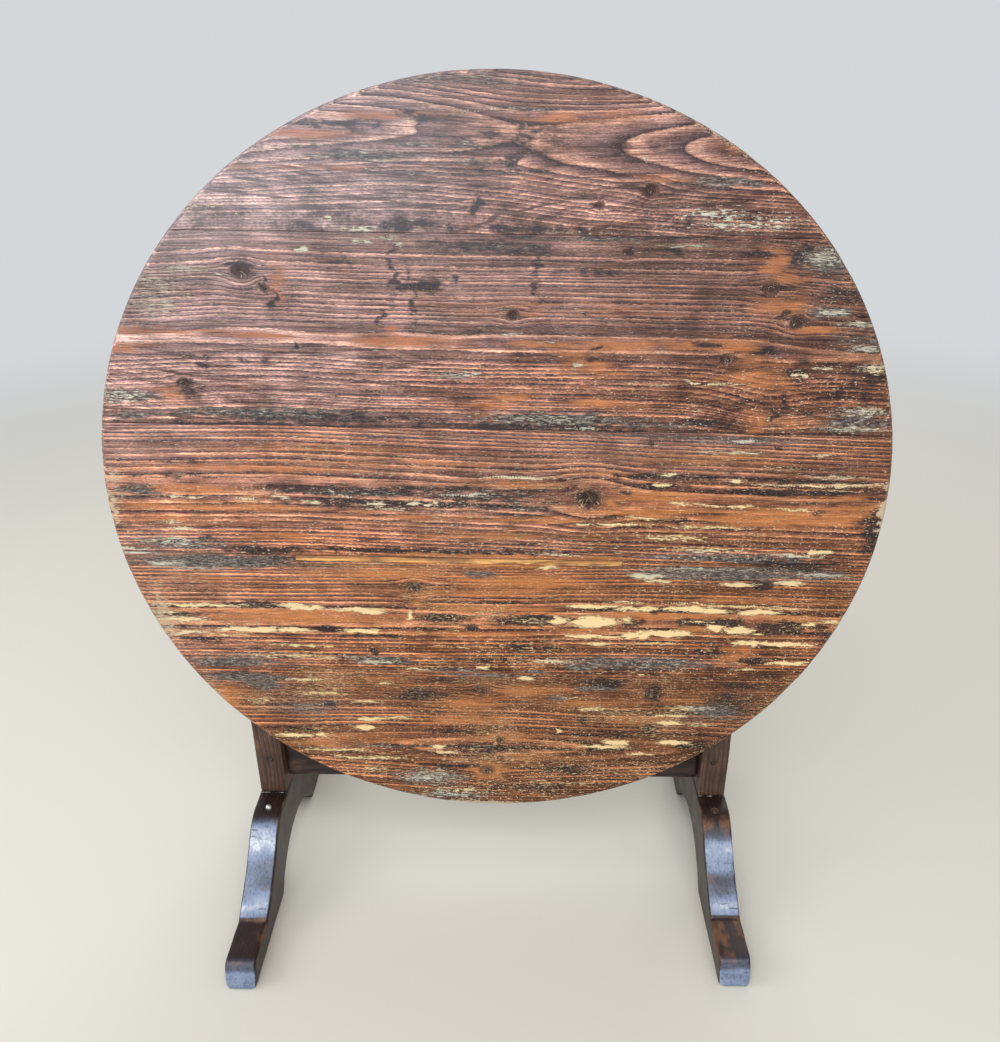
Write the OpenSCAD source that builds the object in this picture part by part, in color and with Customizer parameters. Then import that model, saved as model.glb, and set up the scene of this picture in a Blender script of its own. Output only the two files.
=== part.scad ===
// Wine tasting table: a round boarded top on two pivots, tipped up against its trestle.
// The trestle has two posts on shaped feet, two rails, and a gate that swings out to the
// back and locks the top level. The front is -Y, the floor is Z = 0, sizes in millimetres.

/* [Round top] */
// Diameter of the round top
top_d = 1100; // [1040:10:1180]
// Thickness of the boards
top_t = 30; // [26:1:38]
// Worn rounding of the rim on the face side
rim_round = 6; // [3:0.5:9]
// Rounding of the rim on the underside
rim_ease = 3; // [1:0.5:5]
// Slope of the board joints against the pivot line, in degrees
joint_slope = 1.1; // [0:0.1:2]
// Height of the first joint above the middle of the top
joint_1 = 366; // [350:1:380]
// Height of the second joint above the middle of the top
joint_2 = 111; // [95:1:130]
// Height of the third joint, below the middle of the top
joint_3 = -87; // [-105:1:-70]
// Height of the fourth joint, below the middle of the top
joint_4 = -285; // [-300:1:-265]
// Gap that shrinkage has opened between two boards
board_gap = 0.5; // [0.1:0.1:0.8]
// Thickness of the tongue along each joint
tongue_t = 8; // [6:0.5:10]
// Reach of the tongue into the next board
tongue_reach = 9; // [6:0.5:12]
// Height of the middle of the top above the pivots
top_above_pivot = 20; // [0:1:40]
// Distance from the middle of the trestle to the middle of the top, to the right
top_to_right = 11; // [0:1:20]

/* [Strip let into the third joint] */
// Length of the strip
strip_len = 476; // [300:2:560]
// Width of the strip on the face
strip_w = 9; // [6:0.5:12]
// Depth of the strip
strip_t = 6; // [4:0.5:8]
// Distance from the middle of the top to the middle of the strip, to the left
strip_left = 51; // [0:1:80]

/* [Battens] */
// Width of each batten
batten_w = 70; // [60:1:80]
// Thickness of each batten
batten_t = 22; // [18:1:28]
// Distance from the inside of a post to its batten
batten_off = 12; // [4:0.5:16]
// Distance from a batten's outer corners to the rim
batten_inset = 8; // [5:1:14]
// Thickness left at the end of a batten
batten_end_t = 9; // [6:0.5:12]
// Length of the bevel at the end of a batten
batten_bevel = 20; // [14:1:24]
// Distance from a joint to the nearest batten screw in a wide board
screw_inset = 42; // [30:1:52]
// Distance from a batten's bevel to its outermost screw
screw_end = 10; // [6:1:12]

/* [Pivots] */
// Height of the pivots above the floor
pivot_h = 676; // [640:1:700]
// Diameter of the pivot pins
pin_d = 22; // [16:1:22]
// Clearance round a pin that turns in its hole
turn_fit = 0.1; // [0.02:0.01:0.1]
// Clearance round a pin, peg or tenon that is fixed in its hole
fixed_fit = 0.05; // [0.02:0.01:0.1]
// Gap between the posts and the underside of the top
top_gap = 0.5; // [0.4:0.1:2]
// Width of each pivot block, along the pin
block_w = 56; // [50:1:62]
// Gap between a pivot block and its post
block_off = 2; // [1:0.5:4]
// Length of a block's foot on the batten
block_len = 104; // [96:1:116]
// Thickness of a block's foot
block_t = 12; // [9:0.5:13]
// Radius of the round boss that holds the pin
boss_r = 26; // [20:0.5:29]
// Diameter of the plain part of a screw
screw_d = 5; // [4:0.2:6]
// Diameter of a screw's head
screw_head_d = 9.6; // [8:0.2:11]

/* [Posts] */
// Distance between the middles of the two posts
post_span = 744; // [720:2:780]
// Width of a post, seen from the front
post_w = 45; // [40:1:52]
// Depth of a post, front to back
post_d = 70; // [62:1:80]
// Thickness of the tenon in the foot
post_tenon_t = 18; // [14:1:22]
// Length of that tenon from front to back
post_tenon_len = 52; // [44:1:56]
// Depth of that tenon
post_tenon_deep = 60; // [50:1:64]

/* [Feet] */
// Thickness of a foot, seen from the front
foot_w = 48; // [42:1:56]
// Length of a foot, front to back
foot_len = 596; // [566:2:640]
// How far the left foot is set forward and the right one back
foot_shift = 8; // [0:1:12]
// Height of the seat under the post
foot_h = 142; // [136:1:156]
// Half length of the flat seat
seat_half = 62; // [56:1:72]
// Radius of the shoulder in front of the seat
shoulder_r = 64; // [54:1:72]
// How much steeper the slope starts than a straight one, in degrees
slope_bow = 10; // [6:1:14]
// Length of a toe, from its ledge to its nose
toe_len = 92; // [76:1:100]
// Height of a toe
toe_h = 42; // [36:1:48]
// Height of the ledge where the slope meets the toe
ledge_h = 4; // [2:0.5:7]
// Radius of the rounding on top of the nose
nose_r = 10; // [6:1:14]
// How far the nose leans back
nose_lean = 12; // [4:1:16]
// Size of the bevel under the nose
nose_bevel = 3; // [2:0.5:6]
// Radius of the toe's corners, seen from above
toe_corner_r = 11; // [6:1:14]
// Height of the arch under a foot
arch_h = 62; // [50:1:68]
// Half length of the arch on the floor
arch_half = 116; // [104:1:140]

/* [Rails] */
// Thickness of the two rails
rail_t = 26; // [24:1:32]
// Gap between the battens and the rails when the top is up
rail_gap = 0.5; // [0.4:0.1:3]
// Height of the lower rail's bottom edge above the floor
low_rail_h = 161; // [156:1:170]
// Depth of the lower rail, top to bottom
low_rail_deep = 100; // [90:1:120]
// Height of the upper rail's bottom edge above the floor
up_rail_h = 464; // [440:1:480]
// Depth of the upper rail, top to bottom
up_rail_deep = 62; // [52:1:70]
// Thickness of the rails' tenons
rail_tenon_t = 11; // [9:0.5:14]
// Length of the rails' tenons
rail_tenon_len = 36; // [30:1:38]
// Height of the shoulders above and below the rails' tenons
rail_shoulder = 8; // [4:1:14]
// Diameter of the pegs through posts and tenons
peg_d = 9; // [7:0.5:11]

/* [Fastenings on the feet] */
// Distance from the middle of the post to the nail or peg on the foot's front shoulder
nail_y = 71; // [68:1:76]
// Tilt of the nail and the peg towards the post, in degrees from upright
nail_tilt = 40; // [34:1:44]
// Length of the nail and of the peg
nail_len = 76; // [72:1:84]
// Diameter of the nail's shank
nail_d = 5; // [4:0.5:6]
// Diameter of the nail's domed head
nail_head_d = 12; // [10:0.5:15]
// Height of the dome
nail_head_h = 4; // [3:0.5:5]

/* [Gate] */
// Width of the square stile
stile_w = 38; // [34:1:42]
// Size of the bevel along the stile's corners
stile_bevel = 4; // [2:0.5:6]
// Diameter of the round journals at the stile's ends
journal_d = 16; // [12:1:18]
// Depth of the lower journal in its rail
journal_deep = 34; // [26:1:44]
// Length of the upper journal inside the wing
journal_up = 42; // [34:1:56]
// Gap that keeps the turning stile and wing off the rails
turn_gap = 0.6; // [0.3:0.1:1.5]
// Thickness of the wing board
wing_t = 26; // [22:1:30]
// Gap between the folded wing's tip and the batten beside it
wing_off = 5.5; // [3:0.5:20]
// Width of the wing at its root, from the turning line towards its tip
wing_root = 36; // [32:1:46]
// Gap between the wing and the underside of the level top
wing_gap = 1.5; // [1:0.1:3]
// Depth of the wing's tip, top to bottom
tip_deep = 30; // [24:1:36]
// Length of the straight tip
tip_len = 46; // [42:1:56]
// Radius of the scoop under the wing
scoop_r = 210; // [190:5:320]

/* [Keeper] */
// Length of the keeper along the wing's tip
keeper_len = 36; // [28:1:40]
// Thickness of the keeper's jaw and of its closed side
keeper_wall = 24; // [20:1:28]
// Play of the wing's tip in the keeper
keeper_play = 1; // [0.5:0.1:2]
// How far the keeper's jaw reaches past the tip
jaw_lip = 6; // [2:1:12]

/* [Hidden] */

$fn = 64;
LEFT = -1;
RIGHT = 1;
past = 1;                                    // how far a cutter runs past what it cuts
rim_steps = 4;                               // facets in each rounding of the rim

// Top, pivots and battens
top_r = top_d / 2;
back_off = max(post_d / 2 + top_gap, rail_t / 2 + rail_gap + batten_t);
under_y = -back_off;                         // underside of the upright top
face_y = under_y - top_t;                    // face of the upright top
batten_y = under_y + batten_t;               // back of a batten
pivot_z = pivot_h;
top_z = pivot_z + top_above_pivot;           // middle of the upright top
base_x = -top_to_right;                      // middle of the trestle
post_x = post_span / 2;
post_in = post_x - post_w / 2;               // inside of a post
batten_out = post_in - batten_off;
block_out = post_in - block_off;
batten_mid = batten_out - batten_w / 2;
batten_half = sqrt(pow(top_r, 2) - pow(batten_out + top_to_right, 2)) - batten_inset;
JOINTS = [top_r, joint_1, joint_2, joint_3, joint_4, -top_r];
groove_play = 0.3;                           // room round a tongue in its groove
face_skin = (top_t - tongue_t) / 2;          // wood in front of a tongue
strip_deep = min(strip_t, face_skin - 3);    // the strip stays clear of the tongue
screw_bite = top_t * 0.6;                    // how deep screws go into the boards
screw_cone = 2.6;                            // height of a countersunk head
block_screw_off = (block_len / 2 + boss_r) / 2; // from the pivot line to a block's screws
screw_grip = 12;                             // wood under the heads of the keeper's screws

// Foot profile: Y grows from the middle of the foot to its nose
foot_half = foot_len / 2;
ledge_y = foot_half - toe_len;
ledge_z = toe_h + ledge_h;
shoulder_z = foot_h - shoulder_r;            // middle of the shoulder's circle
to_ledge = [ledge_y - seat_half, ledge_z - shoulder_z];
slope_angle = atan(-to_ledge.y / to_ledge.x) + asin(shoulder_r / norm(to_ledge)) + slope_bow;
slope_normal = [sin(slope_angle), cos(slope_angle)];
slope_start = [seat_half, shoulder_z] + (shoulder_r - 0.3) * slope_normal;
slope_chord = [ledge_y, ledge_z] - slope_start;
hollow_r = pow(norm(slope_chord), 2) / (2 * slope_chord * slope_normal);
hollow_mid = slope_start + hollow_r * slope_normal;
arch_r = (pow(arch_half, 2) + pow(arch_h, 2)) / (2 * arch_h);
nose_foot = [foot_half, nose_bevel];
nose_mid = [foot_half - nose_lean - nose_r, toe_h - nose_r];
nose_reach = nose_mid - nose_foot;
nose_angle = atan2(nose_reach.y, nose_reach.x) - asin(nose_r / norm(nose_reach));
nose_touch = nose_mid + nose_r * [sin(nose_angle), -cos(nose_angle)];

// Gate and keeper
wing_len = batten_out - batten_w - wing_off; // reach of the wing from its turning line
wing_top_r = back_off - wing_gap;            // the wing's top stays inside this radius of the pivot line
wing_top_z = pivot_z + wing_top_r;
wing_heel = sqrt(pow(wing_top_r, 2) - pow(wing_t / 2, 2)); // its corners clear the upright top as they turn
wing_low_z = up_rail_h + up_rail_deep + turn_gap;
tip_z = wing_top_z - tip_deep;
scoop_a = [wing_root, wing_low_z + 12];
scoop_b = [wing_len - tip_len, tip_z];
scoop_chord = scoop_b - scoop_a;
scoop_side = [scoop_chord.y, -scoop_chord.x] / norm(scoop_chord);
scoop_mid = (scoop_a + scoop_b) / 2
          + sqrt(pow(scoop_r, 2) - pow(norm(scoop_chord) / 2, 2)) * scoop_side;
stile_low = low_rail_h + low_rail_deep + turn_gap;
stile_high = up_rail_h - turn_gap;
jaw_y = pivot_z - tip_z + keeper_play;       // jaw face, behind the pivot line of the upright top

module pine(shade) color([0.55, 0.27, 0.13] * shade) children();
module dark_wood() color([0.24, 0.13, 0.09]) children();
module old_wood() color([0.40, 0.27, 0.18]) children();
module iron() color([0.55, 0.54, 0.53]) children();

// A cylinder of length len from point p along X, Y or a tilted line
module bar_x(p, d, len) translate(p) rotate([0, 90, 0]) cylinder(d = d, h = len);
module bar_y(p, d, len) translate(p) rotate([-90, 0, 0]) cylinder(d = d, h = len);

// A block between two corners
module block(low, high) translate(low) cube(high - low);

// What follows is drawn about the middle of the trestle
module on_trestle() translate([base_x, 0, 0]) children();

// Section of the round top from its middle to its rim, with the face side up
module rim_section() polygon(concat(
    [[0, 0]],
    [for (k = [0 : rim_steps]) let (turn = 90 * k / rim_steps)
        [top_r - rim_ease * (1 - sin(turn)), rim_ease * (1 - cos(turn))]],
    [for (k = [0 : rim_steps]) let (turn = 90 * k / rim_steps)
        [top_r - rim_round * (1 - cos(turn)), top_t - rim_round * (1 - sin(turn))]],
    [[0, top_t]]));

// Things placed about the middle of the upright top, turned to the slope of the joints
module along_joints() translate([0, 0, top_z]) rotate([0, joint_slope, 0]) children();

module round_top() translate([0, under_y, top_z]) rotate([90, 0, 0])
    rotate_extrude($fn = 180) rim_section();

// Full-width band of board between two heights, and the tongue below a joint
module band(low, high) block([-top_r - past, face_y - past, low], [top_r + past, under_y + past, high]);
module tongue(at, reach, t) block([-top_r - past, (face_y + under_y - t) / 2, at - reach],
                                  [top_r + past, (face_y + under_y + t) / 2, at + past]);

module strip_space(play) block([-strip_left - strip_len / 2 - play, face_y - (play > 0 ? past : 0),
                                joint_3 - board_gap / 2 - strip_w - play],
                               [-strip_left + strip_len / 2 + play, face_y + strip_deep + play,
                                joint_3 - board_gap / 2 + (play > 0 ? past : 0)]);

// Board n, counted from the top edge: a tongue along its lower edge, a groove along its upper one
module plank(n) {
    high = JOINTS[n - 1] - (n > 1 ? board_gap / 2 : -past);
    low = JOINTS[n] + (n < 5 ? board_gap / 2 : -past);
    difference() {
        intersection() {
            round_top();
            along_joints() {
                band(low, high);
                if (n < 5) tongue(low, tongue_reach + board_gap, tongue_t);
            }
        }
        if (n > 1) along_joints()
            tongue(high, tongue_reach + groove_play, tongue_t + 2 * groove_play);
        if (n == 4) along_joints() strip_space(fixed_fit);
        for (side = [LEFT, RIGHT]) {
            for (s = screw_heights()) if (in_board(s, n)) screw(side, s, fixed_fit);
            for (end = [-1, 1]) if (in_board(end * block_screw_off - top_above_pivot, n))
                block_screw(side, end, fixed_fit);
        }
        for (end = [-1, 1]) if (in_board(keeper_screw_s(end), n)) keeper_screw(end, fixed_fit);
    }
}
function in_board(s, n) = s < JOINTS[n - 1] && s > JOINTS[n];

module joint_strip() intersection() {
    round_top();
    along_joints() strip_space(0);
}

// Heights of the batten screws above the middle of the top: one in the first board, two in others
function screw_heights() = [for (n = [1 : 5])
    let (reach = batten_half - batten_bevel, low = max(JOINTS[n], -reach), high = min(JOINTS[n - 1], reach))
    for (s = high <= low ? []
           : n == 1 ? [high - screw_end]
           : n == 5 ? [low + screw_end, high - screw_inset]
           : [low + screw_inset, high - screw_inset]) s];

// A countersunk wood screw whose head lies flush in the back at depth y, pointing to the face
module wood_screw(x, y, z, play) translate([x, y, z]) rotate([90, 0, 0]) {
    tip = y - under_y + screw_bite;
    if (play > 0) translate([0, 0, -past]) cylinder(d = screw_head_d + 2 * play, h = past);
    cylinder(d1 = screw_head_d + 2 * play, d2 = screw_d + 2 * play, h = screw_cone);
    cylinder(d = screw_d + 2 * play, h = tip + play);
}
module screw(side, s, play) on_trestle()
    wood_screw(side * batten_mid, batten_y, top_z + s, play);

// A flat bar with bevelled ends, straight across the boards
module batten(side) difference() {
    on_trestle() translate([side * batten_mid - batten_w / 2, under_y, top_z]) rotate([90, 0, 90])
        linear_extrude(batten_w) polygon([
            [0, -batten_half], [batten_end_t, -batten_half], [batten_t, -batten_half + batten_bevel],
            [batten_t, batten_half - batten_bevel], [batten_end_t, batten_half], [0, batten_half]]);
    for (s = screw_heights()) screw(side, s, fixed_fit);
    for (end = [-1, 1]) block_screw(side, end, fixed_fit);
}
module batten_screws() for (side = [LEFT, RIGHT]) for (s = screw_heights()) screw(side, s, 0);

// Pillow block on the batten, with a round boss about the pivot line
module block_screw(side, end, play) on_trestle()
    wood_screw(side * batten_mid, batten_y + block_t, pivot_z + end * block_screw_off, play);
module pivot_block(side) {
    x = side * (block_out - block_w / 2);
    difference() {
        on_trestle() union() {
            block([x - block_w / 2, batten_y, pivot_z - block_len / 2],
                  [x + block_w / 2, batten_y + block_t, pivot_z + block_len / 2]);
            intersection() {
                bar_x([x - block_w / 2, 0, pivot_z], 2 * boss_r, block_w);
                block([x - block_w, batten_y, pivot_z - boss_r], [x + block_w, boss_r, pivot_z + boss_r]);
            }
        }
        on_trestle() bar_x([x - block_w, 0, pivot_z], pin_d + 2 * fixed_fit, 2 * block_w);
        for (end = [-1, 1]) block_screw(side, end, fixed_fit);
    }
}
module block_screws() for (side = [LEFT, RIGHT]) for (end = [-1, 1]) block_screw(side, end, 0);

// Dowel fixed in the block, turning in the post
module pivot_pin(side) {
    inner = block_out - block_w;
    outer = post_x + post_w / 2;
    on_trestle() bar_x([side > 0 ? inner : -outer, 0, pivot_z], pin_d, outer - inner);
}

// Block on the underside that takes the wing's tip, open on the side that the wing comes from
keeper_mid = wing_len - tip_len / 2;         // along the open wing
module keeper() {
    out_x = -wing_t / 2 - keeper_play - keeper_wall;
    low = pivot_z + keeper_mid - keeper_len / 2;
    difference() {
        on_trestle() difference() {
            block([out_x, under_y, low], [wing_t / 2 + jaw_lip, jaw_y + keeper_wall, low + keeper_len]);
            block([-wing_t / 2 - keeper_play, under_y - past, low - past],
                  [wing_t, jaw_y, low + keeper_len + past]);
        }
        for (end = [-1, 1]) keeper_screw(end, fixed_fit);
    }
}
function keeper_screw_s(end) = keeper_mid + end * keeper_len / 4 - top_above_pivot;
module keeper_screw(end, play) on_trestle() {
    x = -wing_t / 2 - keeper_play - keeper_wall / 2;
    z = top_z + keeper_screw_s(end);
    wood_screw(x, under_y + screw_grip, z, play);
    if (play > 0) bar_y([x, under_y + screw_grip, z], screw_head_d + 2, jaw_y + keeper_wall - under_y);
}
module keeper_screws() for (end = [-1, 1]) keeper_screw(end, 0);

// Tenon under a post, drawn about the post's middle
module post_tenon(play) block(
    [-post_tenon_t / 2 - play, -post_tenon_len / 2 - play, foot_h - post_tenon_deep - play],
    [post_tenon_t / 2 + play, post_tenon_len / 2 + play, foot_h + 2 * past]);

// Post with a round top about the pivot line and a tenon in the foot
module post(side) on_trestle() translate([side * post_x, 0, 0]) difference() {
    union() {
        block([-post_w / 2, -post_d / 2, foot_h], [post_w / 2, post_d / 2, pivot_z]);
        bar_x([-post_w / 2, 0, pivot_z], post_d, post_w);
        post_tenon(0);
    }
    bar_x([-post_w, 0, pivot_z], pin_d + 2 * turn_fit, 2 * post_w);
    mirror([side < 0 ? 0 : 1, 0, 0]) for (rail = RAILS) {
        rail_tenon(rail, post_w / 2, fixed_fit);
        peg(rail, fixed_fit);
    }
    nail_line(side < 0 ? nail_d : peg_d, fixed_fit);
}

// Each rail is [bottom height, depth]. Its tenon runs towards -X from x on the left post
RAILS = [[low_rail_h, low_rail_deep], [up_rail_h, up_rail_deep]];
module rail_tenon(rail, x, play) block(
    [x - rail_tenon_len - play, -rail_tenon_t / 2 - play, rail[0] + rail_shoulder - play],
    [x + past, rail_tenon_t / 2 + play, rail[0] + rail[1] - rail_shoulder + play]);
module peg(rail, play) {
    reach = post_d / 2 + (play > 0 ? past : 0);
    bar_y([post_w / 2 - rail_tenon_len / 2 - peg_d / 4, -reach, rail[0] + rail[1] / 2],
          peg_d + 2 * play, 2 * reach);
}
module rail(rail) on_trestle() difference() {
    union() {
        block([-post_in, -rail_t / 2, rail[0]], [post_in, rail_t / 2, rail[0] + rail[1]]);
        for (side = [0, 1]) mirror([side, 0, 0]) translate([-post_x, 0, 0]) rail_tenon(rail, post_w / 2, 0);
    }
    for (side = [0, 1]) mirror([side, 0, 0]) translate([-post_x, 0, 0]) peg(rail, fixed_fit);
}
module rail_pegs() on_trestle() for (rail = RAILS) for (side = [0, 1])
    mirror([side, 0, 0]) translate([-post_x, 0, 0]) peg(rail, 0);
module lower_rail() difference() {
    rail(RAILS[0]);
    on_trestle() translate([0, 0, low_rail_h + low_rail_deep - journal_deep - turn_gap])
        cylinder(d = journal_d + 2 * turn_fit, h = journal_deep + 2 * turn_gap + past);
}
module upper_rail() difference() {
    rail(RAILS[1]);
    on_trestle() translate([0, 0, up_rail_h - past])
        cylinder(d = journal_d + 2 * turn_fit, h = up_rail_deep + 2 * past);
}

// Half of the foot's side view, from its middle to its nose
module foot_side() difference() {
    union() {
        square([seat_half, foot_h]);
        difference() {
            polygon([[0, 0], [ledge_y, 0], [ledge_y, slope_start.y], slope_start, [seat_half, shoulder_z],
                     [0, shoulder_z]]);
            translate(hollow_mid) circle(hollow_r, $fn = 180);
        }
        translate([seat_half, shoulder_z]) circle(shoulder_r);
        toe_side();
    }
    translate([0, arch_h - arch_r]) circle(arch_r, $fn = 180);
}
module toe_side() {
    polygon([[arch_half, 0], [foot_half - nose_bevel, 0], nose_foot, nose_touch, nose_mid,
             [nose_mid.x, toe_h], [arch_half, toe_h]]);
    translate(nose_mid) circle(nose_r);
}
// Foot seen from above, with round corners at the toes
module foot_plan() {
    square([foot_w, foot_len - 2 * toe_corner_r], center = true);
    square([foot_w - 2 * toe_corner_r, foot_len], center = true);
    for (x = [-1, 1]) for (y = [-1, 1])
        translate([x * (foot_w / 2 - toe_corner_r), y * (foot_half - toe_corner_r)]) circle(toe_corner_r);
}
module foot_body(side) translate([0, side * foot_shift, 0]) intersection() {
    translate([-foot_w, 0, 0]) rotate([90, 0, 90]) linear_extrude(2 * foot_w) {
        foot_side();
        mirror([1, 0]) foot_side();
    }
    linear_extrude(foot_h + past) foot_plan();
}
module foot(side) on_trestle() translate([side * post_x, 0, 0]) difference() {
    foot_body(side);
    post_tenon(fixed_fit);
    nail_line(side < 0 ? nail_d : peg_d, fixed_fit);
    if (side < 0) nail_axis() translate([0, 0, -nail_head_d])
        cylinder(d = nail_head_d + 2 * fixed_fit, h = nail_head_d + fixed_fit);
}

// The nail and the peg go in at the front shoulder and slant down into the tenon
module nail_axis() translate([0, -nail_y, foot_h]) rotate([180 + nail_tilt, 0, 0]) children();
module nail_line(d, play) {
    start = play > 0 ? nail_head_d : nail_head_h / 2;
    nail_axis() translate([0, 0, -start]) cylinder(d = d + 2 * play, h = start + nail_len + play);
}
module foot_nail() on_trestle() translate([-post_x, 0, 0]) {
    nail_line(nail_d, 0);
    dome_r = (pow(nail_head_d / 2, 2) + pow(nail_head_h, 2)) / (2 * nail_head_h);
    nail_axis() intersection() {
        translate([0, 0, dome_r - nail_head_h]) sphere(dome_r);
        translate([0, 0, -nail_head_h - past]) cylinder(d = nail_head_d, h = nail_head_h + past);
    }
}
module foot_peg() on_trestle() translate([post_x, 0, 0]) intersection() {
    nail_axis() translate([0, 0, -peg_d]) cylinder(d = peg_d, h = nail_len + peg_d);
    foot_body(RIGHT);
}

// Square stile with bevelled corners, a journal in each rail and its top fixed in the wing
module gate_stile() on_trestle() difference() {
    bevel_half = (stile_w - stile_bevel) / sqrt(2);
    union() {
        intersection() {
            block([-stile_w / 2, -stile_w / 2, stile_low], [stile_w / 2, stile_w / 2, stile_high]);
            rotate(45) block([-bevel_half, -bevel_half, stile_low], [bevel_half, bevel_half, stile_high]);
        }
        translate([0, 0, stile_low - turn_gap - journal_deep])
            cylinder(d = journal_d, h = wing_low_z + journal_up - stile_low + turn_gap + journal_deep);
    }
    gate_peg(fixed_fit);
}
module gate_peg(play) {
    reach = wing_t / 2 + (play > 0 ? past : 0);
    bar_y([0, -reach, wing_low_z + journal_up / 2], peg_d * 0.8 + 2 * play, 2 * reach);
}
module gate_pegs() on_trestle() gate_peg(0);

// Wing board: deep at the root, scooped below, with a straight tip for the keeper
module wing_side() difference() {
    polygon([[-wing_heel, wing_low_z], [wing_root, wing_low_z], scoop_a, scoop_b,
             [wing_len, tip_z], [wing_len, wing_top_z + past], [-wing_heel, wing_top_z + past]]);
    intersection() {
        translate(scoop_mid) circle(scoop_r, $fn = 180);
        polygon([scoop_a, scoop_b, [scoop_a.x, scoop_b.y]]);
    }
}
module gate_wing() on_trestle() difference() {
    intersection() {
        translate([0, wing_t / 2, 0]) rotate([90, 0, 0]) linear_extrude(wing_t) wing_side();
        union() {
            bar_x([-wing_len, 0, pivot_z], 2 * wing_top_r, 3 * wing_len);
            block([-wing_len, -wing_t, 0], [2 * wing_len, wing_t, pivot_z]);
        }
    }
    translate([0, 0, wing_low_z - past])
        cylinder(d = journal_d + 2 * fixed_fit, h = journal_up + past + fixed_fit);
    gate_peg(fixed_fit);
}

pine(0.95) plank(1);  // plank_1
pine(1) plank(2);  // plank_2
pine(1.1) plank(3);  // plank_3
pine(1.05) plank(4);  // plank_4
pine(0.9) plank(5);  // plank_5
pine(1.5) joint_strip();
old_wood() batten(LEFT);  // batten_left
old_wood() batten(RIGHT);  // batten_right
iron() batten_screws();
old_wood() pivot_block(LEFT);  // pivot_block_left
old_wood() pivot_block(RIGHT);  // pivot_block_right
iron() block_screws();
old_wood() pivot_pin(LEFT);  // pivot_pin_left
old_wood() pivot_pin(RIGHT);  // pivot_pin_right
old_wood() keeper();
iron() keeper_screws();
dark_wood() post(LEFT);  // post_left
dark_wood() post(RIGHT);  // post_right
dark_wood() foot(LEFT);  // foot_left
dark_wood() foot(RIGHT);  // foot_right
dark_wood() lower_rail();
dark_wood() upper_rail();
dark_wood() rail_pegs();
iron() foot_nail();
dark_wood() foot_peg();
old_wood() gate_stile();
old_wood() gate_wing();
old_wood() gate_pegs();
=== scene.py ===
import math
import bpy
import numpy as np
from mathutils import Matrix, Vector
from mathutils.geometry import delaunay_2d_cdt


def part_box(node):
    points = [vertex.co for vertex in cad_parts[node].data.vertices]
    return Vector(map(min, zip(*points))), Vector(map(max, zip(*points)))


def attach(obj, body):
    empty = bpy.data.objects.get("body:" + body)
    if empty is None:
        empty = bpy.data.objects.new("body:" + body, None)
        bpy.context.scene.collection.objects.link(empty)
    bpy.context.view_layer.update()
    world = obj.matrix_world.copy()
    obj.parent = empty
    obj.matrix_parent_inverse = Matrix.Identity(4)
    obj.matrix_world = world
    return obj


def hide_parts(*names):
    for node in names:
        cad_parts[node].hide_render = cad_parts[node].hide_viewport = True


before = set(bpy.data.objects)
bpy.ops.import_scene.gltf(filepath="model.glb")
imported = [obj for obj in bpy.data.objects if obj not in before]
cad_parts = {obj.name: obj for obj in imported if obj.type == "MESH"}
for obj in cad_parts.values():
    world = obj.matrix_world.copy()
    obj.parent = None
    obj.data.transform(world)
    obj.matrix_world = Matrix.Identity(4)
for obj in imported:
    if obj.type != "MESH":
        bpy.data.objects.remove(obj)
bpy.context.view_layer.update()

# The room: a plain pale floor and soft daylight from wide windows in front, at the left and behind.
# The camera stands where the photograph was taken from, looking down at the table tipped up.
CAMERA_AT = (0.037, -1.230, 1.220)
CAMERA_TURN = math.radians(1.41)
CAMERA_PITCH = math.radians(25.27)
CAMERA_ROLL = -0.0086
FOCAL_PIXELS, PHOTO_HIGH = 906.6, 1042
LAMPS_AIM = Vector((0, 0, 0.5))
FLOOR_COLOUR = (0.70, 0.65, 0.56)
FAR_COLOUR = (0.66, 0.68, 0.70)
SKY_COLOUR, SKY_STRENGTH = (0.80, 0.86, 0.92), 0.55
FLOOR_SIZE, FLOOR_FADE_FROM, FLOOR_FADE_TO = 24, 1.6, 4.5

camera = bpy.data.objects.new("camera", bpy.data.cameras.new("camera"))
camera.data.lens = FOCAL_PIXELS / PHOTO_HIGH * camera.data.sensor_width
camera.data.clip_end = 50
camera.matrix_world = (Matrix.Translation(CAMERA_AT) @ Matrix.Rotation(CAMERA_TURN, 4, "Z")
                       @ Matrix.Rotation(math.pi / 2 - CAMERA_PITCH, 4, "X")
                       @ Matrix.Rotation(CAMERA_ROLL, 4, "Z"))
bpy.context.scene.collection.objects.link(camera)
bpy.context.scene.camera = camera
bpy.context.scene.view_settings.view_transform = "Standard"


def soft_lamp(name, at, size, watts, colour):
    """A wide lamp that faces the table. Its place and size are in metres."""
    lamp = bpy.data.lights.new(name, "AREA")
    lamp.shape = "RECTANGLE"
    lamp.size, lamp.size_y = size
    lamp.energy = watts
    lamp.color = colour
    holder = bpy.data.objects.new(name, lamp)
    holder.location = at
    holder.rotation_euler = (LAMPS_AIM - Vector(at)).to_track_quat("-Z", "Y").to_euler()
    bpy.context.scene.collection.objects.link(holder)


soft_lamp("window", (-0.2, -2.7, 2.9), (3.4, 2.8), 100, (0.90, 0.96, 1.0))
soft_lamp("window_left", (-2.8, -0.6, 2.2), (2.2, 2.0), 40, (0.92, 0.96, 1.0))
soft_lamp("window_back", (0.6, 2.6, 2.8), (2.6, 2.0), 36, (1.0, 0.99, 0.97))


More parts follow.
